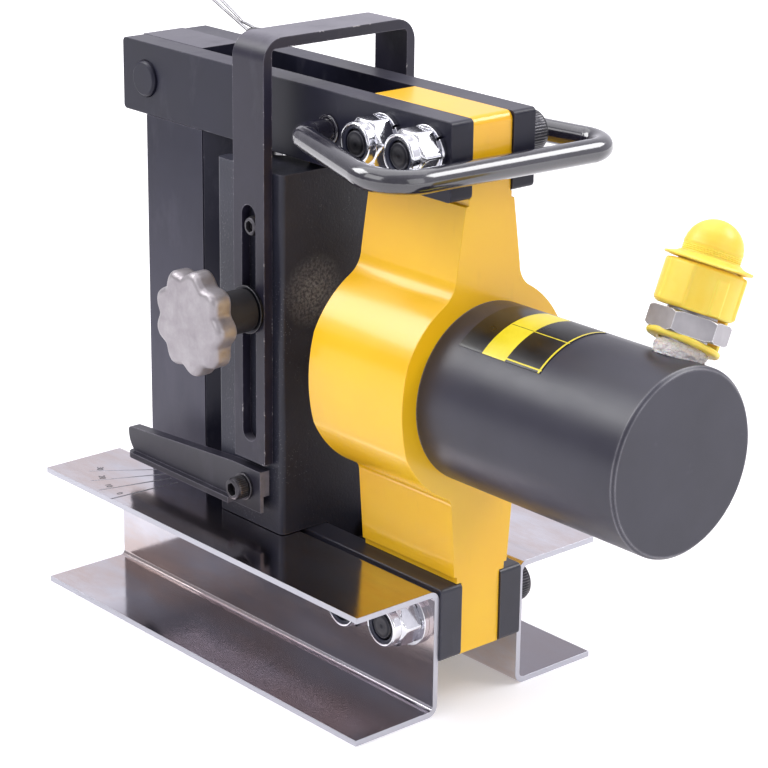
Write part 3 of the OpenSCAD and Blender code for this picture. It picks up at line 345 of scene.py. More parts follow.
def dark_steel(name, dark, light, rough):
    """Oxide-blacked or plain dark steel: metallic under a thin film, arrises rubbed bright."""
    f = Finish(name, metallic=0.75)
    cloud = f.noise(90, 5, 0.65)
    grit = f.noise(1800, 3, 0.6)
    base = f.mix(f.span(cloud, 0.35, 0.7), dark, light)
    arris = f.calc("MULTIPLY", f.edges(0.0005), f.span(cloud, 0.3, 0.7, 0.25, 0.7))
    f.set("Base Color", f.mix(arris, base, linear(150, 148, 150)))
    f.set("Roughness", f.span(cloud, 0.3, 0.75, rough - 0.06, rough + 0.1))
    f.bump((cloud, 0.0002, 0.15), (grit, 0.00005, 0.3))
    return f.mat


def yellow_cast():
    """Thick gloss yellow over a fettled casting: slow waves, orange peel, rubbed arrises, thin grime."""
    f = Finish("yellow_cast", specular_ior_level=0.5, coat_weight=0.4, coat_roughness=0.14)
    slow = f.noise(24, 3, 0.5)
    peel = f.noise(650, 2, 0.5)
    cloud = f.noise(11, 4, 0.6, None, 2.0)
    pit = f.cells(260)
    base = f.mix(f.span(cloud, 0.3, 0.7), linear(252, 188, 8), linear(255, 203, 14))
    rub = f.calc("MULTIPLY", f.edges(0.0016, 0.01, 0.2), f.span(slow, 0.4, 0.7, 0.1, 0.4))
    base = f.mix(rub, base, linear(255, 222, 110))
    grime = f.calc("MULTIPLY", f.span(f.noise(90, 6, 0.7, (1, 1, 0.4), 6.0), 0.6, 0.8), 0.14)
    f.set("Base Color", f.mix(grime, base, linear(176, 118, 28)))
    f.set("Roughness", f.span(cloud, 0.3, 0.75, 0.3, 0.42))
    f.bump((slow, 0.002, 0.16), (f.span(pit, 0.0, 0.12), 0.0001, 0.10), (peel, 0.0001, 0.10))
    return f.mat


def barrel_black():
    """Matt black on the turned cylinder: faint turning lines round X and a soft sheen."""
    f = Finish("barrel_black", specular_ior_level=0.5)
    cloud = f.noise(15, 4, 0.6)
    turn = f.noise(1500, 3, 0.6, (1, 0.02, 0.02))
    grit = f.noise(1600, 3, 0.6)
    rub = f.noise(60, 6, 0.7, (0.6, 1, 1), 3.0)
    base = f.mix(f.span(cloud, 0.35, 0.7), linear(42, 41, 54), linear(53, 52, 66))
    base = f.mix(f.calc("MULTIPLY", f.span(rub, 0.62, 0.8), 0.3), base, linear(104, 101, 112))
    arris = f.calc("MULTIPLY", f.edges(0.0014), f.span(rub, 0.3, 0.6, 0.3, 0.9))
    f.set("Base Color", f.mix(arris, base, linear(150, 148, 156)))
    f.set("Roughness", f.span(rub, 0.3, 0.8, 0.33, 0.44))
    f.bump((cloud, 0.0006, 0.08), (turn, 0.00003, 0.15), (grit, 0.00006, 0.22))
    return f.mat


def cast_silver():
    """The star knob: silver grey die casting, fine grain, small bruises and scratches on its face."""
    f = Finish("cast_silver", metallic=0.55)
    cloud = f.noise(120, 5, 0.65)
    grain = f.noise(2200, 3, 0.6)
    bruise = f.noise(420, 4, 0.7, (1, 1, 0.35), 1.3)
    base = f.mix(f.span(cloud, 0.35, 0.7), linear(150, 144, 149), linear(170, 165, 169))
    base = f.mix(f.calc("MULTIPLY", f.span(bruise, 0.6, 0.75), 0.4), base, linear(140, 132, 134))
    arris = f.calc("MULTIPLY", f.edges(0.0015, 0.01, 0.15), 0.5)
    f.set("Base Color", f.mix(arris, base, linear(204, 198, 198)))
    f.set("Roughness", f.span(bruise, 0.3, 0.75, 0.44, 0.32))
    f.bump((cloud, 0.0008, 0.3), (bruise, 0.0002, 0.35), (grain, 0.00005, 0.3))
    return f.mat


def moulded(name, dark, light, rough, depth=0.1, **sockets):
    """Moulded plastic: even colour with slow clouds, faint flow marks and a fine skin."""
    f = Finish(name, **sockets)
    cloud = f.noise(70, 4, 0.6)
    skin = f.noise(1500, 3, 0.6)
    arris = f.calc("MULTIPLY", f.edges(0.0006), 0.35)
    base = f.mix(f.span(cloud, 0.3, 0.7), dark, light)
    lighter = tuple(min(1.0, c * 1.3 + 0.02) for c in light[:3]) + (1.0,)
    f.set("Base Color", f.mix(arris, base, lighter))
    f.set("Roughness", f.span(cloud, 0.3, 0.75, rough - 0.05, rough + 0.08))
    f.bump((cloud, 0.0004, depth), (skin, 0.00005, 0.2))
    return f.mat


def wound_tape():
    """White thread tape, pressed and torn: creases round the thread, with painted shade along thin
    folds.
    """
    f = Finish("wound_tape", subsurface_weight=0.2, subsurface_scale=0.002, roughness=0.6)
    fold = f.noise(500, 5, 0.7, (1, 1, 2.5))
    crease = f.cells(420, "DISTANCE_TO_EDGE")
    base = f.mix(f.span(fold, 0.35, 0.65), linear(244, 234, 236), linear(255, 253, 254))
    # Painted shade along the creases
    shaded = f.calc("MULTIPLY", f.span(crease, 0.1, 0.0), 0.4)
    f.set("Base Color", f.mix(shaded, base, linear(206, 190, 190)))
    f.bump((fold, 0.0006, 0.8), (crease, 0.0002, 0.5))
    return f.mat


def label_film():
    """The plain label: black film, one yellow band across it and yellow rules round two empty cells."""
    f = Finish("label_film", specular_ior_level=0.5)
    low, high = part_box("label_plate")
    part = f.span(f.along(0), low.x, high.x)
    drop = f.calc("SUBTRACT", f.along(2), AXIS_Z * MM)
    across = f.calc("SUBTRACT", f.along(1), MID_Y * MM)
    angle = f.calc("DEGREES", f.calc("ARCTAN2", across, drop))

    def within(value, start, end):
        above, below = f.calc("GREATER_THAN", value, start), f.calc("LESS_THAN", value, end)
        return f.calc("MULTIPLY", above, below)

    # Shares of the label's length, then degrees round the barrel from its top
    band_start, band_end = 0.29, 0.576
    end_rule = within(part, 0.972, 0.992)
    table = f.calc("GREATER_THAN", part, band_start)
    band = within(part, band_start, band_end)
    for mask in (end_rule, f.calc("MULTIPLY", table, within(angle, -41.6, -40.6)),
                 f.calc("MULTIPLY", table, within(angle, -16.2, -15.4))):
        band = f.calc("MAXIMUM", band, mask)
    slit = f.calc("MULTIPLY", within(part, 0.3, 0.57), within(angle, -16.0, -15.5))
    band = f.calc("SUBTRACT", band, slit)
    cloud = f.noise(60, 5, 0.65)
    black = f.mix(f.span(cloud, 0.35, 0.7), linear(12, 11, 15), linear(22, 20, 26))
    yellow = f.mix(f.span(cloud, 0.35, 0.7), linear(232, 212, 40), linear(250, 232, 70))
    f.set("Base Color", f.mix(band, black, yellow))
    f.set("Roughness", f.span(cloud, 0.3, 0.7, 0.26, 0.4))
    f.bump((cloud, 0.0003, 0.08), (f.noise(900, 2), 0.00003, 0.1))
    return f.mat


PAINT = black_finish("black_paint_look", linear(34, 34, 46), linear(47, 47, 60))
ARM = black_finish("arm_paint_look", linear(26, 26, 40), linear(36, 36, 52), shine=0.26, tops=0.25)
HEAD = black_finish("post_paint_look", linear(30, 30, 44), linear(42, 42, 58),
                    tops=0.7, shine=0.2, painted_floor_light=0.65)
COAT = black_finish("black_coat_look", linear(30, 28, 42), linear(44, 41, 57),
                    bare=linear(206, 202, 206), worn=1.0, tops=1.0, chip=0.6, shine=0.36)
TONGUE = black_finish("pointer_coat_look", linear(30, 29, 40), linear(44, 42, 54),
                      bare=linear(190, 186, 190), worn=1.0, bright_end=0.75)
HANDLE = black_finish("handle_look", linear(26, 24, 36), linear(40, 38, 52), rough=0.2,
                      bare=linear(140, 138, 144), grain=1.2, worn=0.3,
                      coat_weight=1.0, coat_ior=1.7, coat_roughness=0.1)
OXIDE = dark_steel("oxide_look", linear(28, 28, 34), linear(46, 46, 54), 0.34)
PIN = dark_steel("pin_look", linear(14, 13, 18), linear(26, 25, 32), 0.3)
GREY = dark_steel("grey_steel_look", linear(52, 50, 56), linear(84, 82, 88), 0.32)
SHEET = zinc_sheet()
NUTS = zinc_turned("zinc_nut_look", linear(236, 236, 240), linear(204, 205, 212), 0.1)
HEX = zinc_turned("coupler_hex_look", linear(182, 179, 182), linear(158, 155, 159), 0.38, (1, 1, 0.2))
WIRE = zinc_turned("clip_wire_look", linear(150, 150, 154), linear(112, 110, 112), 0.25)
YELLOW = yellow_cast()
GROUND = zinc_turned("ground_look", linear(206, 206, 210), linear(184, 184, 190), 0.12, (0.02, 1, 1))
BRONZE = zinc_turned("bronze_look", linear(190, 140, 80), linear(164, 116, 62), 0.3, (0.02, 1, 1))
SEAL = moulded("seal_look", linear(24, 24, 26), linear(40, 40, 42), 0.5)
INSERT = moulded("insert_look", linear(34, 36, 52), linear(50, 52, 70), 0.3)
HUB = moulded("hub_look", linear(30, 28, 32), linear(42, 40, 44), 0.5, 0.3)
CAP = moulded("cap_look", linear(254, 214, 72), linear(255, 224, 96), 0.4, 0.15,
              subsurface_weight=0.25, subsurface_scale=0.003)
FINISHES = {
    PAINT: ["bar_low_near", "bar_low_far", "cross_pin_low"],
    ARM: ["bar_top_near", "bar_top_far", "nose", "cross_pin_top"],
    HEAD: ["post"],
    barrel_black(): ["barrel"],
    forged_black(): ["vee_block"],
    COAT: ["strap"],
    TONGUE: ["pointer"],
    HANDLE: ["bail", "bail_collars"],
    OXIDE: ["knob_washer"],
    PIN: ["nose_pin"],
    GREY: ["knob_stud", "return_spring", "pointer_washer"],
    SHEET: ["foot_near", "foot_far"],
    NUTS: ["washers_top", "washers_low"],
    HEX: ["coupler_nut", "coupler_stem"],
    WIRE: ["nose_pin_clip"],
    YELLOW: ["casting"],
    GROUND: ["ram"],
    BRONZE: ["guide_bush"],
    SEAL: ["rod_seal", "piston_seal"],
    HUB: ["knob_hub"],
    label_film(): ["label_plate"],
}


# The CAD solids, dressed
def clean_group():
    """Joins the imported triangles, drops their stored normals and shades every face smooth."""
    tree = bpy.data.node_groups.new("clean", "GeometryNodeTree")
    tree.interface.new_socket("Geometry", in_out="INPUT", socket_type="NodeSocketGeometry")
    tree.interface.new_socket("Geometry", in_out="OUTPUT", socket_type="NodeSocketGeometry")
    chain = [tree.nodes.new(kind) for kind in (
        "NodeGroupInput", "GeometryNodeMergeByDistance", "GeometryNodeRemoveAttribute",
        "GeometryNodeSetShadeSmooth", "NodeGroupOutput")]
    chain[1].inputs["Distance"].default_value = 2e-6
    chain[2].inputs["Name"].default_value = "custom_normal"
    for a, b in zip(chain, chain[1:]):
        tree.links.new(a.outputs["Geometry"], b.inputs["Geometry"])
    return tree


CLEAN = clean_group()
# Width of the broken edges in mm and their segments. The rest get the default
EDGE_DEFAULT = (0.25, 2)
BROKEN = {
    "casting": (1.1, 3), "foot_near": (0.14, 2), "foot_far": (0.14, 2), "strap": (0.5, 3),
    "vee_block": (0.8, 3), "post": (0.6, 2), "nose": (0.5, 2), "bar_top_near": (0.6, 3),
    "bar_top_far": (0.6, 3), "bar_low_near": (0.6, 3), "bar_low_far": (0.6, 3),
    "pointer": (0.5, 3), "knob_hub": (0.7, 3), "coupler_nut": (0.35, 2), "knob_washer": (0.3, 2),
    "washers_top": (0.3, 2), "washers_low": (0.3, 2), "bail_collars": (0.4, 2),
}
# Solids that keep their own edges: wires, bent rod and thin film
PLAIN = {"return_spring", "nose_pin_clip", "label_plate", "bail"}
# Turns in degrees: faces within the first are one face, and edges over the second are broken
FLAT_WITHIN = 0.4
BROKEN_OVER = 32


def dress(name, material):
    """Gives a CAD solid its material and, as modifiers, its broken edges."""
    solid = NODES[name]
    solid.data.materials.clear()
    solid.data.materials.append(material)
    clean = solid.modifiers.new("clean", "NODES")
    clean.node_group = CLEAN
    if name not in PLAIN:
        flat = solid.modifiers.new("flat", "DECIMATE")
        flat.decimate_type = "DISSOLVE"
        flat.angle_limit = math.radians(FLAT_WITHIN)
        width, segments = BROKEN.get(name, EDGE_DEFAULT)
        edge = solid.modifiers.new("edge", "BEVEL")
        edge.width = width * MM
        edge.segments = segments
        edge.limit_method = "ANGLE"
        edge.angle_limit = math.radians(BROKEN_OVER)
        edge.use_clamp_overlap = True
    even = solid.modifiers.new("even", "WEIGHTED_NORMAL")
    even.keep_sharp = name in PLAIN


for finish_mat, names in FINISHES.items():
    for node_name in names:
        dress(node_name, finish_mat)


# Detail pieces
def piece(name, mesh, material, body, stands_for=(), angle=32):
    """A finished mesh in the row frame as an object, whose edges over that angle stay sharp."""
    bmesh.ops.recalc_face_normals(mesh, faces=mesh.faces)
    data = bpy.data.meshes.new(name)
    mesh.to_mesh(data)
    mesh.free()
    for face in data.polygons:
        face.use_smooth = True
    data.set_sharp_from_angle(angle=math.radians(angle))
    data.materials.append(material)
    made = bpy.data.objects.new(name, data)
    SCENE.collection.objects.link(made)
    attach(made, body)
    if stands_for:
        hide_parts(*stands_for)
    return made


def turned(mesh, rings, count, place, loop=False):
    """Adds a surface of rings (height, radius), in mm, about the local Z of a matrix.
    A height or radius may be a function of the angle. A radius of 0 closes the end."""
    rows = []
    for height, radius in rings:
        row = []
        for k in range(1 if radius == 0 else count):
            a = TAU * k / count
            r = radius(a) if callable(radius) else radius
            h = height(a) if callable(height) else height
            row.append(mesh.verts.new(place @ Vector((r * math.cos(a), r * math.sin(a), h)) * MM))
        rows.append(row)
    if loop:
        rows.append(rows[0])
    for a, b in zip(rows, rows[1:]):
        for k in range(count):
            n = (k + 1) % count
            corners = [a[k % len(a)], a[n % len(a)], b[n % len(b)], b[k % len(b)]]
            distinct = list(dict.fromkeys(corners))
            if len(distinct) > 2:
                mesh.faces.new(distinct)


def facing(direction, origin):
    """A matrix in mm with its local Z along one of the row's axes, at a point in mm."""
    turn = {"-Y": Matrix.Rotation(math.pi / 2, 4, "X"), "+Y": Matrix.Rotation(-math.pi / 2, 4, "X"),
            "+Z": Matrix.Identity(4), "+X": Matrix.Rotation(math.pi / 2, 4, "Y")}[direction]
    return Matrix.Translation(Vector(origin)) @ turn


def hexagon(across):
    """Radius of a hexagon with that width across flats, by angle."""
    step = TAU / 6

    def radius(a):
        return across / 2 / math.cos((a + step / 2) % step - step / 2)
    return radius


def knurl(radius, count, depth):
    """Radius of a straight knurl with that many ridges, by angle."""
    return lambda a: radius + depth * (abs((a / TAU * count) % 1 * 2 - 1) - 0.5)


def thread(radius, height, depth=THREAD_DEPTH, pitch=THREAD_PITCH):
    """Radius of a screw thread at that height, by angle."""
    def at(a):
        t = (height / pitch - a / TAU) % 1
        return radius - depth * min(1.0, max(0.0, abs(t * 2 - 1) * 1.25 - 0.1))
    return at


def head_rings(base, radius, height, socket, ridges):
    """A knurled cap head with its socket, from its seat at height base downwards."""
    top = base - height
    body = knurl(radius - 0.06, ridges, 0.24)
    rings = [(base, radius - 0.5), (base - 0.5, body)]
    rings += [(base - 0.5 - (height - 2.2) * k / 4, body) for k in range(1, 5)]
    rings += [(top + 1.3, radius - 0.15), (top + 0.4, radius - 0.5), (top + 0.1, radius - 0.9),
              (top, radius - 1.4), (top, hexagon(socket * 1.06)), (top + 0.4, hexagon(socket)),
              (top + height * 0.55, hexagon(socket)), (top + height * 0.62, 0)]
    return rings


# Rings turned in a bolt's end, as (depth, radius), and the rows of its modelled thread
TURNED_END = ((0.07, 1.25), (0.02, 1.9), (0.1, 2.2), (0.03, 2.9), (0.12, 3.2), (0.04, 3.9))
THREAD_ROWS = 14
THREAD_STEP = 0.22


def bolt_set(name, node):
    """The two long cap bolts of a pair: turned and threaded near end, knurled head on the far side."""
    low, high = (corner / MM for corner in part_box(node))
    mesh = bmesh.new()
    seat = -(high.y - HEAD_H)
    tip = -low.y
    z = (low.z + high.z) / 2
    for x in (low.x + HEAD_R, high.x - HEAD_R):
        rings = [(tip, 0), (tip, 1.0)]
        rings += [(tip - sink, r) for sink, r in TURNED_END]
        rings += [(tip - 0.16, BOLT_R - 1.4), (tip - 0.25, BOLT_R - 1.0)]
        for k in range(THREAD_ROWS):
            h = tip - 0.4 - k * THREAD_STEP
            limit = BOLT_R - 1.5 * max(0.0, 0.55 - k * 0.12)
            rings.append((h, lambda a, shape=thread(BOLT_R, h), most=limit: min(shape(a), most)))
        rings += [(tip - 0.6 - THREAD_ROWS * THREAD_STEP, BOLT_R), (seat, BOLT_R)]
        rings += head_rings(seat, HEAD_R, HEAD_H, SOCKET_AF, ridges=48)
        turned(mesh, rings, 144, facing("-Y", (x, 0, z)))
    return piece(name, mesh, OXIDE, "frame", (node,), angle=28)


bolt_set("bolts_upper", "bolts_top")
bolt_set("bolts_lower", "bolts_low")


def lock_nuts(name, node):
    """The two locking nuts of a pair: chamfered hexagon, round collar rolled in over a dark insert."""
    low, high = (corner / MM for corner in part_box(node))
    base, front = -high.y, -low.y
    top = front - LOCKNUT_COLLAR
    z = (low.z + high.z) / 2
    flats = hexagon(LOCKNUT_AF)
    collar = LOCKNUT_FACE / 2
    bore = BOLT_R + 0.1
    mouth = collar - 1.25
    lip = 0.9

    def cut(depth):
        """The hexagon with its corners turned down that much."""
        return lambda a: min(flats(a + TAU / 12), LOCKNUT_CORNER - depth)

    nut, insert = bmesh.new(), bmesh.new()
    for x in (low.x + LOCKNUT_CORNER, high.x - LOCKNUT_CORNER):
        place = facing("-Y", (x, 0, z))
        rings = [(base, bore), (base, LOCKNUT_CORNER - 1.5), (base + 0.35, cut(0.7)),
                 (base + 0.8, cut(0))]
        rings += [(base + 0.8 + (top - base - 2.4) * k / 5, cut(0)) for k in range(1, 6)]
        rings += [(top - 1.1, cut(0.3)), (top - 0.6, cut(0.85)), (top - 0.2, cut(1.2)),
                  (top, collar + 0.2), (top + 0.15, collar - 0.1), (top + 0.5, collar - 0.05)]
        rings += [(top + 0.5 + (front - 1.4 - top) * k / 4, collar) for k in range(1, 5)]
        for k in range(6):
            t = k / 5 * math.pi / 2
            rings.append((front - lip + lip * math.sin(t), collar - lip + lip * math.cos(t)))
        rings += [(front - 0.3, mouth + 0.05), (front - 0.8, mouth), (front - 2.0, mouth),
                  (front - 2.0, bore)]
        turned(nut, rings, 144, place, loop=True)
        seal = [(front - 1.9, mouth - 0.02), (front - 0.75, mouth - 0.02),
                (front - 0.6, mouth - 0.3), (front - 0.85, mouth - 0.55), (front - 0.7, mouth - 0.8),
                (front - 0.9, BOLT_R + 0.25), (front - 1.9, BOLT_R + 0.12)]
        turned(insert, seal, 96, place, loop=True)
    piece(name, nut, NUTS, "frame", (node,), angle=30)
    piece(name + "_inserts", insert, INSERT, "frame", (), angle=30)


lock_nuts("lock_nuts_upper", "nuts_top")
lock_nuts("lock_nuts_lower", "nuts_low")


def small_screw(mesh, where, direction, radius, height, shank, length, socket, ridges):
    """A short cap screw: its seat at the origin of its own frame, its head outwards."""
    place = facing(direction, where) @ Matrix.Rotation(math.pi, 4, "X")
    rings = [(length, 0), (length, shank - 0.6), (length - 0.6, shank), (0, shank)]
    rings += head_rings(0, radius, height, socket, ridges)
    turned(mesh, rings, ridges * 3, place)


def pointer_cap_screw():
    """The screw on which the pointer tilts."""
    low, high = (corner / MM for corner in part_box("pointer_screw"))
    x, z = (low.x + high.x) / 2, (low.z + high.z) / 2
    mesh = bmesh.new()
    small_screw(mesh, (x, low.y + POINTER_HEAD_H, z), "-Y", (high.x - low.x) / 2, POINTER_HEAD_H,
                POINTER_SHANK_R, high.y - low.y - POINTER_HEAD_H, socket=5.2, ridges=32)
    piece("pointer_cap_screw", mesh, GREY, "ram", ("pointer_screw",), angle=28)


def guide_cap_screws():
    """The two screws that guide the strap, one in each leg's slot."""
    low, high = (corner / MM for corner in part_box("guide_screws"))
    x, z = (low.x + high.x) / 2, (low.z + high.z) / 2
    mesh = bmesh.new()
    for side, seat in (("-Y", low.y + GUIDE_HEAD_H), ("+Y", high.y - GUIDE_HEAD_H)):
        small_screw(mesh, (x, seat, z), side, (high.x - low.x) / 2, GUIDE_HEAD_H,
                    GUIDE_SHANK_R, GUIDE_SHANK_L, socket=4.4, ridges=30)
    piece("guide_cap_screws", mesh, GREY, "ram", ("guide_screws",), angle=28)


pointer_cap_screw()
guide_cap_screws()


def star_knob():
    """Die-cast star: soft lobes, round rims, a slightly domed and bruised face."""
    low, high = (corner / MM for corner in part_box("knob_star"))
    hub_low, hub_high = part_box("knob_hub")
    centre = (hub_low + hub_high) / 2 / MM
    cx, cz = centre.x, centre.z
    depth = high.y - low.y
    first = math.radians(KNOB_FIRST)

    def star(a):
        wave = 0.5 + 0.5 * math.cos(KNOB_LOBES * (a - first))
        return KNOB_ROOT_R + (KNOB_TIP_R - KNOB_ROOT_R) * wave ** 0.85

    def ring(inset, height):
        def at(a):
            r = star(a) - inset
            n = noise.noise(Vector((math.cos(a) * 2.6, math.sin(a) * 2.6, height * 0.2)))
            return r + KNOB_WAVE * n
        return (height, at)

    rings = [(0.0, 0), (0.0, 9.3), ring(5.5, 0.3), ring(2.6, 0.9)]
    for k in range(6):
        t = k / 5 * math.pi / 2
        rings.append(ring(2.2 * (1 - math.sin(t)), 1.2 + 2.2 * (1 - math.cos(t))))
    shoulder = depth - 0.5 - KNOB_RIM
    for k in range(8):
        t = k / 7 * math.pi / 2
        rings.append(ring(KNOB_RIM * (1 - math.cos(t)), shoulder + KNOB_RIM * math.sin(t)))
    for share, rise in ((0.8, -0.25), (0.62, -0.05), (0.42, 0.1), (0.2, 0.25)):
        rings.append((depth - 0.3 + rise,
                      lambda a, s=share: (star(a) - KNOB_RIM) * s + 1.9 * s * (1 - s)))
    rings.append((depth, 0))
    mesh = bmesh.new()
    turned(mesh, rings, 216, facing("-Y", (cx, high.y, cz)))
    for v in mesh.verts:
        p = v.co / MM
        n = noise.noise(p * 0.16) * 0.25 + noise.noise(p * 0.5) * 0.1
        if p.y < low.y + 1.5:
            v.co.y += abs(n) * MM
    piece("star_knob", mesh, cast_silver(), "knob", ("knob_star",), angle=60)


star_knob()

# The coupler's own frame, in mm, with Z outwards along its thread from the barrel's axis
COUPLER_FOOT = Vector((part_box("barrel")[1].x / MM - COUPLER_IN, MID_Y, AXIS_Z))
COUPLER = Matrix.Translation(COUPLER_FOOT) @ Matrix.Rotation(math.radians(-COUPLER_LEAN), 4, "X")


def ease(x, low, high):
    """From 0 at low to 1 at high, with soft ends."""
    t = min(1.0, max(0.0, (x - low) / (high - low)))
    return t * t * (3 - 2 * t)


def dust_cap():
    """Soft moulded cap: raised panels and two upright ribs on its skirt, a dome with fine ridges."""
    view = math.radians(-41)
    base_r = CAP_BASE_R

    def skirt(height):
        part = (height - CR_CAP) / CAP_H

        def at(a):
            # Degrees round from where the photograph's camera is, with every form there twice
            d = math.degrees(a - view) % 180
            panel = ease(d, 63, 68) * (1 - ease(d, 152, 157))
            panel *= ease(part, 0.02, 0.1)
            u = min(abs(d - 20), abs(d - 200))
            rib = (1 - ease(u, 7.5, 11)) * ease(part, 0.0, 0.05) * (1 - ease(part, 0.70, 0.82))
            groove = 0.56 * (1 - ease(abs(d - 110), 1.5, 4)) * ease(part, 0.1, 0.2)
            flare = 0.075 * (1 - ease(part, 0.0, 0.25))
            return base_r + 0.9 * max(panel, 0.9 * rib) - groove + flare
        return at

    rings = [(CR_CAP + 0.6, 0), (CR_CAP + 0.6, 10.4), (CR_CAP + 0.2, 10.5), (CR_CAP, 11.2),
             (CR_CAP, base_r - 1.2), (CR_CAP + 0.25, base_r - 0.4)]
    for k in range(1, 34):
        h = CR_CAP + 0.25 + (CAP_H - 1.3) * k / 34
        rings.append((h, skirt(h)))
    last = skirt(CR_DISC - 2)
    rings += [(CR_DISC - 0.7, lambda a: last(a) - 0.5), (CR_DISC - 0.35, base_r - 1.2),
              (CR_DISC - 0.3, DOME_R)]
    rings.append((CR_DOME + 0.1, DOME_R))
    for k in range(20):
        h = CR_DOME + 0.2 + (DOME_H - 0.3) * k / 19
        rings.append((h, DOME_R - 0.16 + 0.16 * math.cos(k * TAU / 5)))
    for k in range(1, 16):
        t = k / 16 * math.pi / 2
        dip = 0.14 if k in (2, 4) else 0.0
        rings.append((CR_DOME + DOME_H + DOME_R * math.sin(t) - 0.05, (DOME_R - dip) * math.cos(t)))
    rings.append((CR_DOME + DOME_H + DOME_R - 0.05, 0))
    mesh = bmesh.new()
    turned(mesh, rings, 240, COUPLER)
    piece("dust_cap_moulded", mesh, CAP, "cap", ("dust_cap",), angle=50)


dust_cap()


def band(mesh, points, half_width, thickness, place):
    """A flat strap in mm along points (radius, height), with rounded edges, in a matrix."""
    inner = half_width - 0.4
    section = [(-inner, -0.5), (inner, -0.5), (half_width, -0.2), (half_width, 0.2),
               (inner, 0.5), (-inner, 0.5), (-half_width, 0.2), (-half_width, -0.2)]
    rows = []
    for k, (r, h) in enumerate(points):
        before, after = points[max(0, k - 1)], points[min(len(points) - 1, k + 1)]
        run = Vector((after[0] - before[0], after[1] - before[1])).normalized()
        out = Vector((run.y, -run.x))
        row = []
        for w, t in section:
            rise = t * thickness
            row.append(mesh.verts.new(place @ Vector((r + out.x * rise, w, h + out.y * rise)) * MM))
        rows.append(row)
    n = len(section)
    for a, b in zip(rows, rows[1:]):
        for k in range(n):
            mesh.faces.new([a[k], a[(k + 1) % n], b[(k + 1) % n], b[k]])
    mesh.faces.new(rows[0])
    mesh.faces.new(rows[-1])


def leash():
    """Soft leash: a ring that sags on the thread, a strap up its outer side, a disc under the dome."""
    mesh = bmesh.new()
    side = math.radians(LEASH_TURN)
    sag = math.radians(LEASH_SAG)
    turn_axis = Vector((math.sin(side), -math.cos(side), 0))
    tilt = Matrix.Translation(Vector((0, 0, CR_RING + 0.55))) @ Matrix.Rotation(-sag, 4, turn_axis)
    ring_section = [(-1.2, 9.7), (-1.3, 14.2), (-1.0, 14.7), (-0.4, 15.0), (0.5, 15.0), (1.0, 14.7),
                    (1.2, 14.2), (1.2, 9.7), (0.7, 9.4), (-0.7, 9.4)]
    turned(mesh, ring_section, 96, COUPLER @ tilt, loop=True)

    def lip(a):
        return 0.3 * math.sin(2 * a + 0.6) + 0.15 * math.sin(3 * a)

    disc = [(CR_DISC + 0.35, DOME_R + 0.35),
            (lambda a: CR_DISC + 0.3 + lip(a) * 0.4, 15.0),
            (lambda a: CR_DISC + 0.5 + lip(a), DISC_R - 0.3),
            (lambda a: CR_DISC + 0.9 + lip(a), DISC_R),
            (lambda a: CR_DISC + 1.4 + lip(a), DISC_R - 0.3),
            (lambda a: CR_DISC + 1.9 + lip(a) * 0.4, 15.2),
            (CR_DISC + 2.6, 13.2), (CR_DISC + 3.3, DOME_R + 0.5), (CR_DISC + 2.6, DOME_R + 0.35)]
    turned(mesh, disc, 144, COUPLER, loop=True)
    drop = -15.0 * math.sin(sag)
    # From the ring, which hangs low on this side, up and over the disc
    route = [(12.5, CR_RING + 0.6 + drop), (15.0, CR_RING + 0.7 + drop),
             (16.7, CR_RING + 1.6 + drop), (17.4, CR_RING + 4.5), (17.6, CR_RING + 10.0),
             (17.5, CR_RING + 18.0), (17.5, CR_RING + 25.0), (17.6, CR_DISC - 2.0),
             (17.7, CR_DISC + 0.2), (16.6, CR_DISC + 1.1), (14.6, CR_DISC + 1.2)]
    smooth = []
    for k in range(len(route) - 1):
        p0, p1 = route[max(0, k - 1)], route[k]
        p2, p3 = route[k + 1], route[min(len(route) - 1, k + 2)]
        for s in range(4):
            t = s / 4
            smooth.append(tuple(0.5 * (2 * b + (c - a) * t + (2 * a - 5 * b + 4 * c - d) * t * t
                                       + (3 * b - a - 3 * c + d) * t ** 3)
                                for a, b, c, d in zip(p0, p1, p2, p3)))
    smooth.append(route[-1])
    band(mesh, smooth, LEASH_HALF_W, LEASH_T, COUPLER @ Matrix.Rotation(side, 4, "Z"))
    piece("leash_moulded", mesh, CAP, "frame", ("leash",), angle=50)


leash()


def tape():
    """Thread tape pressed out from under the ring in creased turns."""
    mesh = bmesh.new()

    def turns(height, reach):
        def at(a):
            n = noise.noise(Vector((math.cos(a) * 3.1, math.sin(a) * 3.1, height * 0.9)))
            m = noise.noise(Vector((math.cos(a) * 9, math.sin(a) * 9, height * 2.3)))
            return reach + 0.75 * n + 0.5 * m
        return at

    def rumpled(height):
        return lambda a: height + 0.35 * noise.noise(
            Vector((math.cos(a) * 5, math.sin(a) * 5, height)))

    rows = 16
    rings = []
    for k in range(rows + 1):
        h = BARREL_R - 1.0 + (TAPE_L + 1.1) * k / rows
        bulge = math.sin(k / rows * math.pi * 0.85 + 0.25)
        rings.append((rumpled(h), turns(h, 9.5 + 1.1 * bulge)))
    inner = [(CR_RING + 0.1, 9.05), (BARREL_R - 1.0, 9.05)]
    turned(mesh, rings + inner, 160, COUPLER, loop=True)
    piece("tape_wound", mesh, wound_tape(), "frame", ("thread_tape",), angle=60)


tape()


# The scale's numbers, in metres and degrees
SCALE_FIRST = -4
SCALE_STEP = 10.5
SCALE_REACH = 0.0612
SCALE_SHIFT = -0.0035
SCALE_HEIGHT = 0.0042
INK_T = 0.00003
INK_LIFT = 0.00004


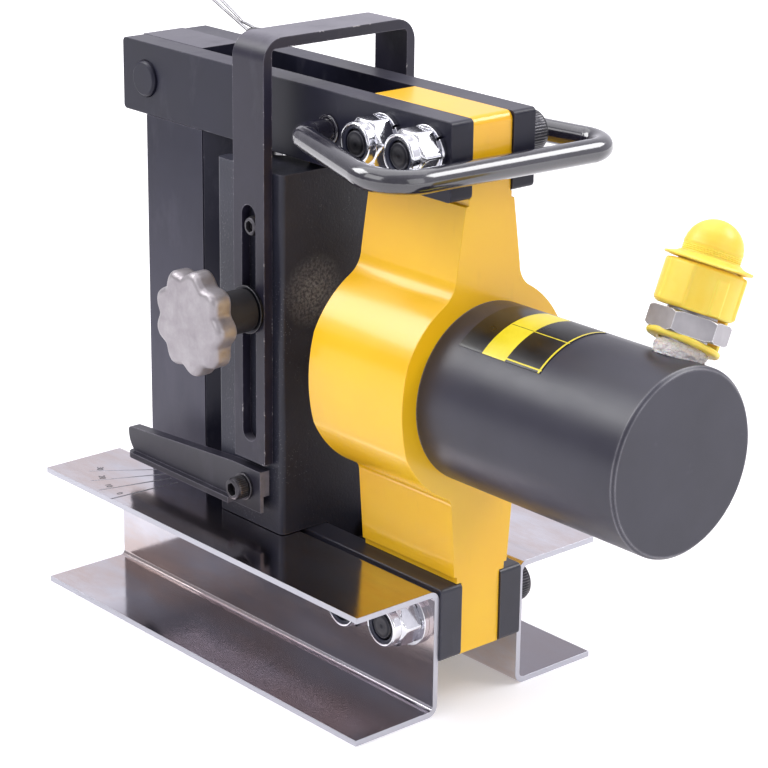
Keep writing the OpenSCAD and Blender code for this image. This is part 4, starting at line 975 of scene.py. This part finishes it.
def scale_numbers():
    """Small plain numbers at the outer ends of the angle lines on the near foot."""
    ink = moulded("scale_ink", linear(70, 70, 76), linear(96, 96, 102), 0.5)
    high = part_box("foot_near")[1]
    centre = Vector((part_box("nose")[0].x - 0.006, MID_Y * MM, high.z))
    for k, words in enumerate(("0", "10", "20", "30")):
        angle = math.radians(SCALE_FIRST - SCALE_STEP * k)
        out = centre + Vector((math.sin(angle), -math.cos(angle), 0)) * SCALE_REACH
        curve = bpy.data.curves.new(f"scale_{words}", "FONT")
        curve.body = words
        curve.size = SCALE_HEIGHT
        curve.extrude = INK_T
        curve.align_x = "CENTER"
        curve.align_y = "CENTER"
        curve.materials.append(ink)
        text = bpy.data.objects.new(f"scale_{words}", curve)
        SCENE.collection.objects.link(text)
        text.location = out + Vector((SCALE_SHIFT, 0, INK_LIFT))
        text.rotation_euler = (0, 0, angle)
        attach(text, "frame")


scale_numbers()


# Floor, light and camera
# Half the floor's side and its depth under the feet, in metres
FLOOR_HALF = 6.0
FLOOR_DROP = 0.0001


def floor():
    """A white floor just under the feet, which the camera and mirrors see lit from within."""
    mesh = bmesh.new()
    bmesh.ops.create_grid(mesh, x_segments=2, y_segments=2, size=FLOOR_HALF)
    data = bpy.data.meshes.new("floor")
    mesh.to_mesh(data)
    mesh.free()
    made = bpy.data.objects.new("floor", data)
    made.location = (0, 0, -FLOOR_DROP)
    SCENE.collection.objects.link(made)
    f = Finish("floor_look", roughness=0.6, specular_ior_level=0.3)
    cloud = f.noise(3, 3, 0.5)
    f.set("Base Color", f.mix(f.span(cloud, 0.3, 0.7), linear(243, 241, 246), linear(247, 245, 249)))
    # Metres from the object: the floor glows more where the lamps reach it less
    reach = f.vector("DISTANCE", f.place, (0, 0, 0))
    far = f.calc("ADD", f.span(reach, 0.1, 0.5, 0.26, 0.34), f.span(reach, 0.8, 1.8, 0.0, 0.85))
    path = f.node("ShaderNodeLightPath").outputs
    seen = f.calc("MAXIMUM", path["Is Camera Ray"], f.calc("MAXIMUM", path["Is Glossy Ray"],
                                                           path["Is Transmission Ray"]))
    f.set("Emission Color", (1.0, 1.0, 1.0, 1.0))
    f.set("Emission Strength", f.calc("MULTIPLY", far, seen))
    data.materials.append(f.mat)


# Directions that are darker in mirrors, the room's colours, and its share of the object's light
DARK_SIDE = (-0.70, -0.68, 0.22)
NEAR_SIDE = (0.70, -0.63, 0.33)
ROOM = (0.985, 0.98, 1.0, 1.0)
ROOM_MIRRORED = (0.94, 0.925, 1.0, 1.0)
FILL = 0.42


def world():
    """Even white room; mirrors see it too, with two darker sides where an open studio would be."""
    room = bpy.data.worlds.new("room")
    SCENE.world = room
    room.use_nodes = True
    g = Graph(room.node_tree)
    path = g.node("ShaderNodeLightPath").outputs
    mirrored = g.calc("MAXIMUM", path["Is Glossy Ray"], path["Is Transmission Ray"])
    plain = g.calc("SUBTRACT", 1.0, g.calc("MAXIMUM", mirrored, path["Is Camera Ray"]))
    direction = g.node("ShaderNodeTexCoord").outputs["Generated"]
    ripple = g.node("ShaderNodeTexNoise", {"Vector": direction, "Scale": 2.4, "Detail": 1.0}).outputs[0]
    wave = g.calc("MULTIPLY", g.calc("SUBTRACT", ripple, 0.5), 0.25)

    def darker(side, start, level):
        """From 1 away from a side to a level straight towards it, with a soft and wavy border."""
        toward = g.calc("ADD", g.vector("DOT_PRODUCT", direction, side), wave)
        return g.span(toward, start, 0.9, 1.0, level)

    dim = g.calc("MINIMUM", darker(DARK_SIDE, 0.5, 0.42), darker(NEAR_SIDE, 0.65, 0.5))
    seen = g.calc("MAXIMUM", path["Is Camera Ray"], g.calc("MULTIPLY", mirrored, dim))
    level = g.calc("ADD", seen, g.calc("MULTIPLY", plain, FILL))
    tint = g.mix(mirrored, ROOM, ROOM_MIRRORED)
    back = g.node("ShaderNodeBackground", {"Color": tint, "Strength": level})
    out = g.node("ShaderNodeOutputWorld")
    g.tree.links.new(back.outputs[0], out.inputs[0])


def lamp(name, place, target, size, power):
    """A white rectangle of light: its place, what it faces, its sides in metres and its watts."""
    data = bpy.data.lights.new(name, "AREA")
    data.shape = "RECTANGLE"
    data.size, data.size_y = size
    data.energy = power
    made = bpy.data.objects.new(name, data)
    made.location = place
    made.rotation_euler = (Vector(target) - Vector(place)).to_track_quat("-Z", "Y").to_euler()
    SCENE.collection.objects.link(made)


# Width of the photograph, in pixels
PHOTO_WIDTH = 768


def camera():
    """The photograph's fitted view. Its angles are in degrees, its focal length in pixels."""
    azimuth, elevation, roll = (math.radians(v) for v in (48.56, 18.96, 0.75))
    target = Vector((-0.0062, MID_Y * MM, 0.12516))
    distance, focal = 1.0666, 2505.2
    back = Vector((math.sin(azimuth) * math.cos(elevation), -math.cos(azimuth) * math.cos(elevation),
                   math.sin(elevation)))
    right = (-back).cross(Vector((0, 0, 1))).normalized()
    up = right.cross(-back)
    right, up = (right * math.cos(roll) + up * math.sin(roll),
                 up * math.cos(roll) - right * math.sin(roll))
    data = bpy.data.cameras.new("photo_view")
    data.sensor_fit = "HORIZONTAL"
    data.sensor_width = 36.0
    data.lens = focal / PHOTO_WIDTH * data.sensor_width
    data.clip_start = 0.05
    data.clip_end = 30.0
    made = bpy.data.objects.new("photo_view", data)
    turn = Matrix((right, up, back)).transposed().to_4x4()
    made.matrix_world = Matrix.Translation(target + back * distance) @ turn
    SCENE.collection.objects.link(made)
    SCENE.camera = made


floor()
world()
lamp("ceiling", (-0.3, 0.1, 1.45), (0, 0, 0.1), (1.7, 1.4), 8.2)
lamp("back_box", (0.62, 0.91, 1.12), (0, 0, 0.2), (0.95, 0.5), 11.0)
lamp("barrel_box", (-0.72, -0.52, 0.92), (0.1, 0, 0.14), (0.55, 0.55), 6.5)
lamp("right_box", (1.5, -0.15, 0.75), (0, 0, 0.14), (0.9, 1.1), 4.1)
lamp("left_box", (-0.15, -1.35, 1.05), (0, 0, 0.12), (1.0, 0.8), 5.5)
camera()
SCENE.view_settings.view_transform = "Standard"
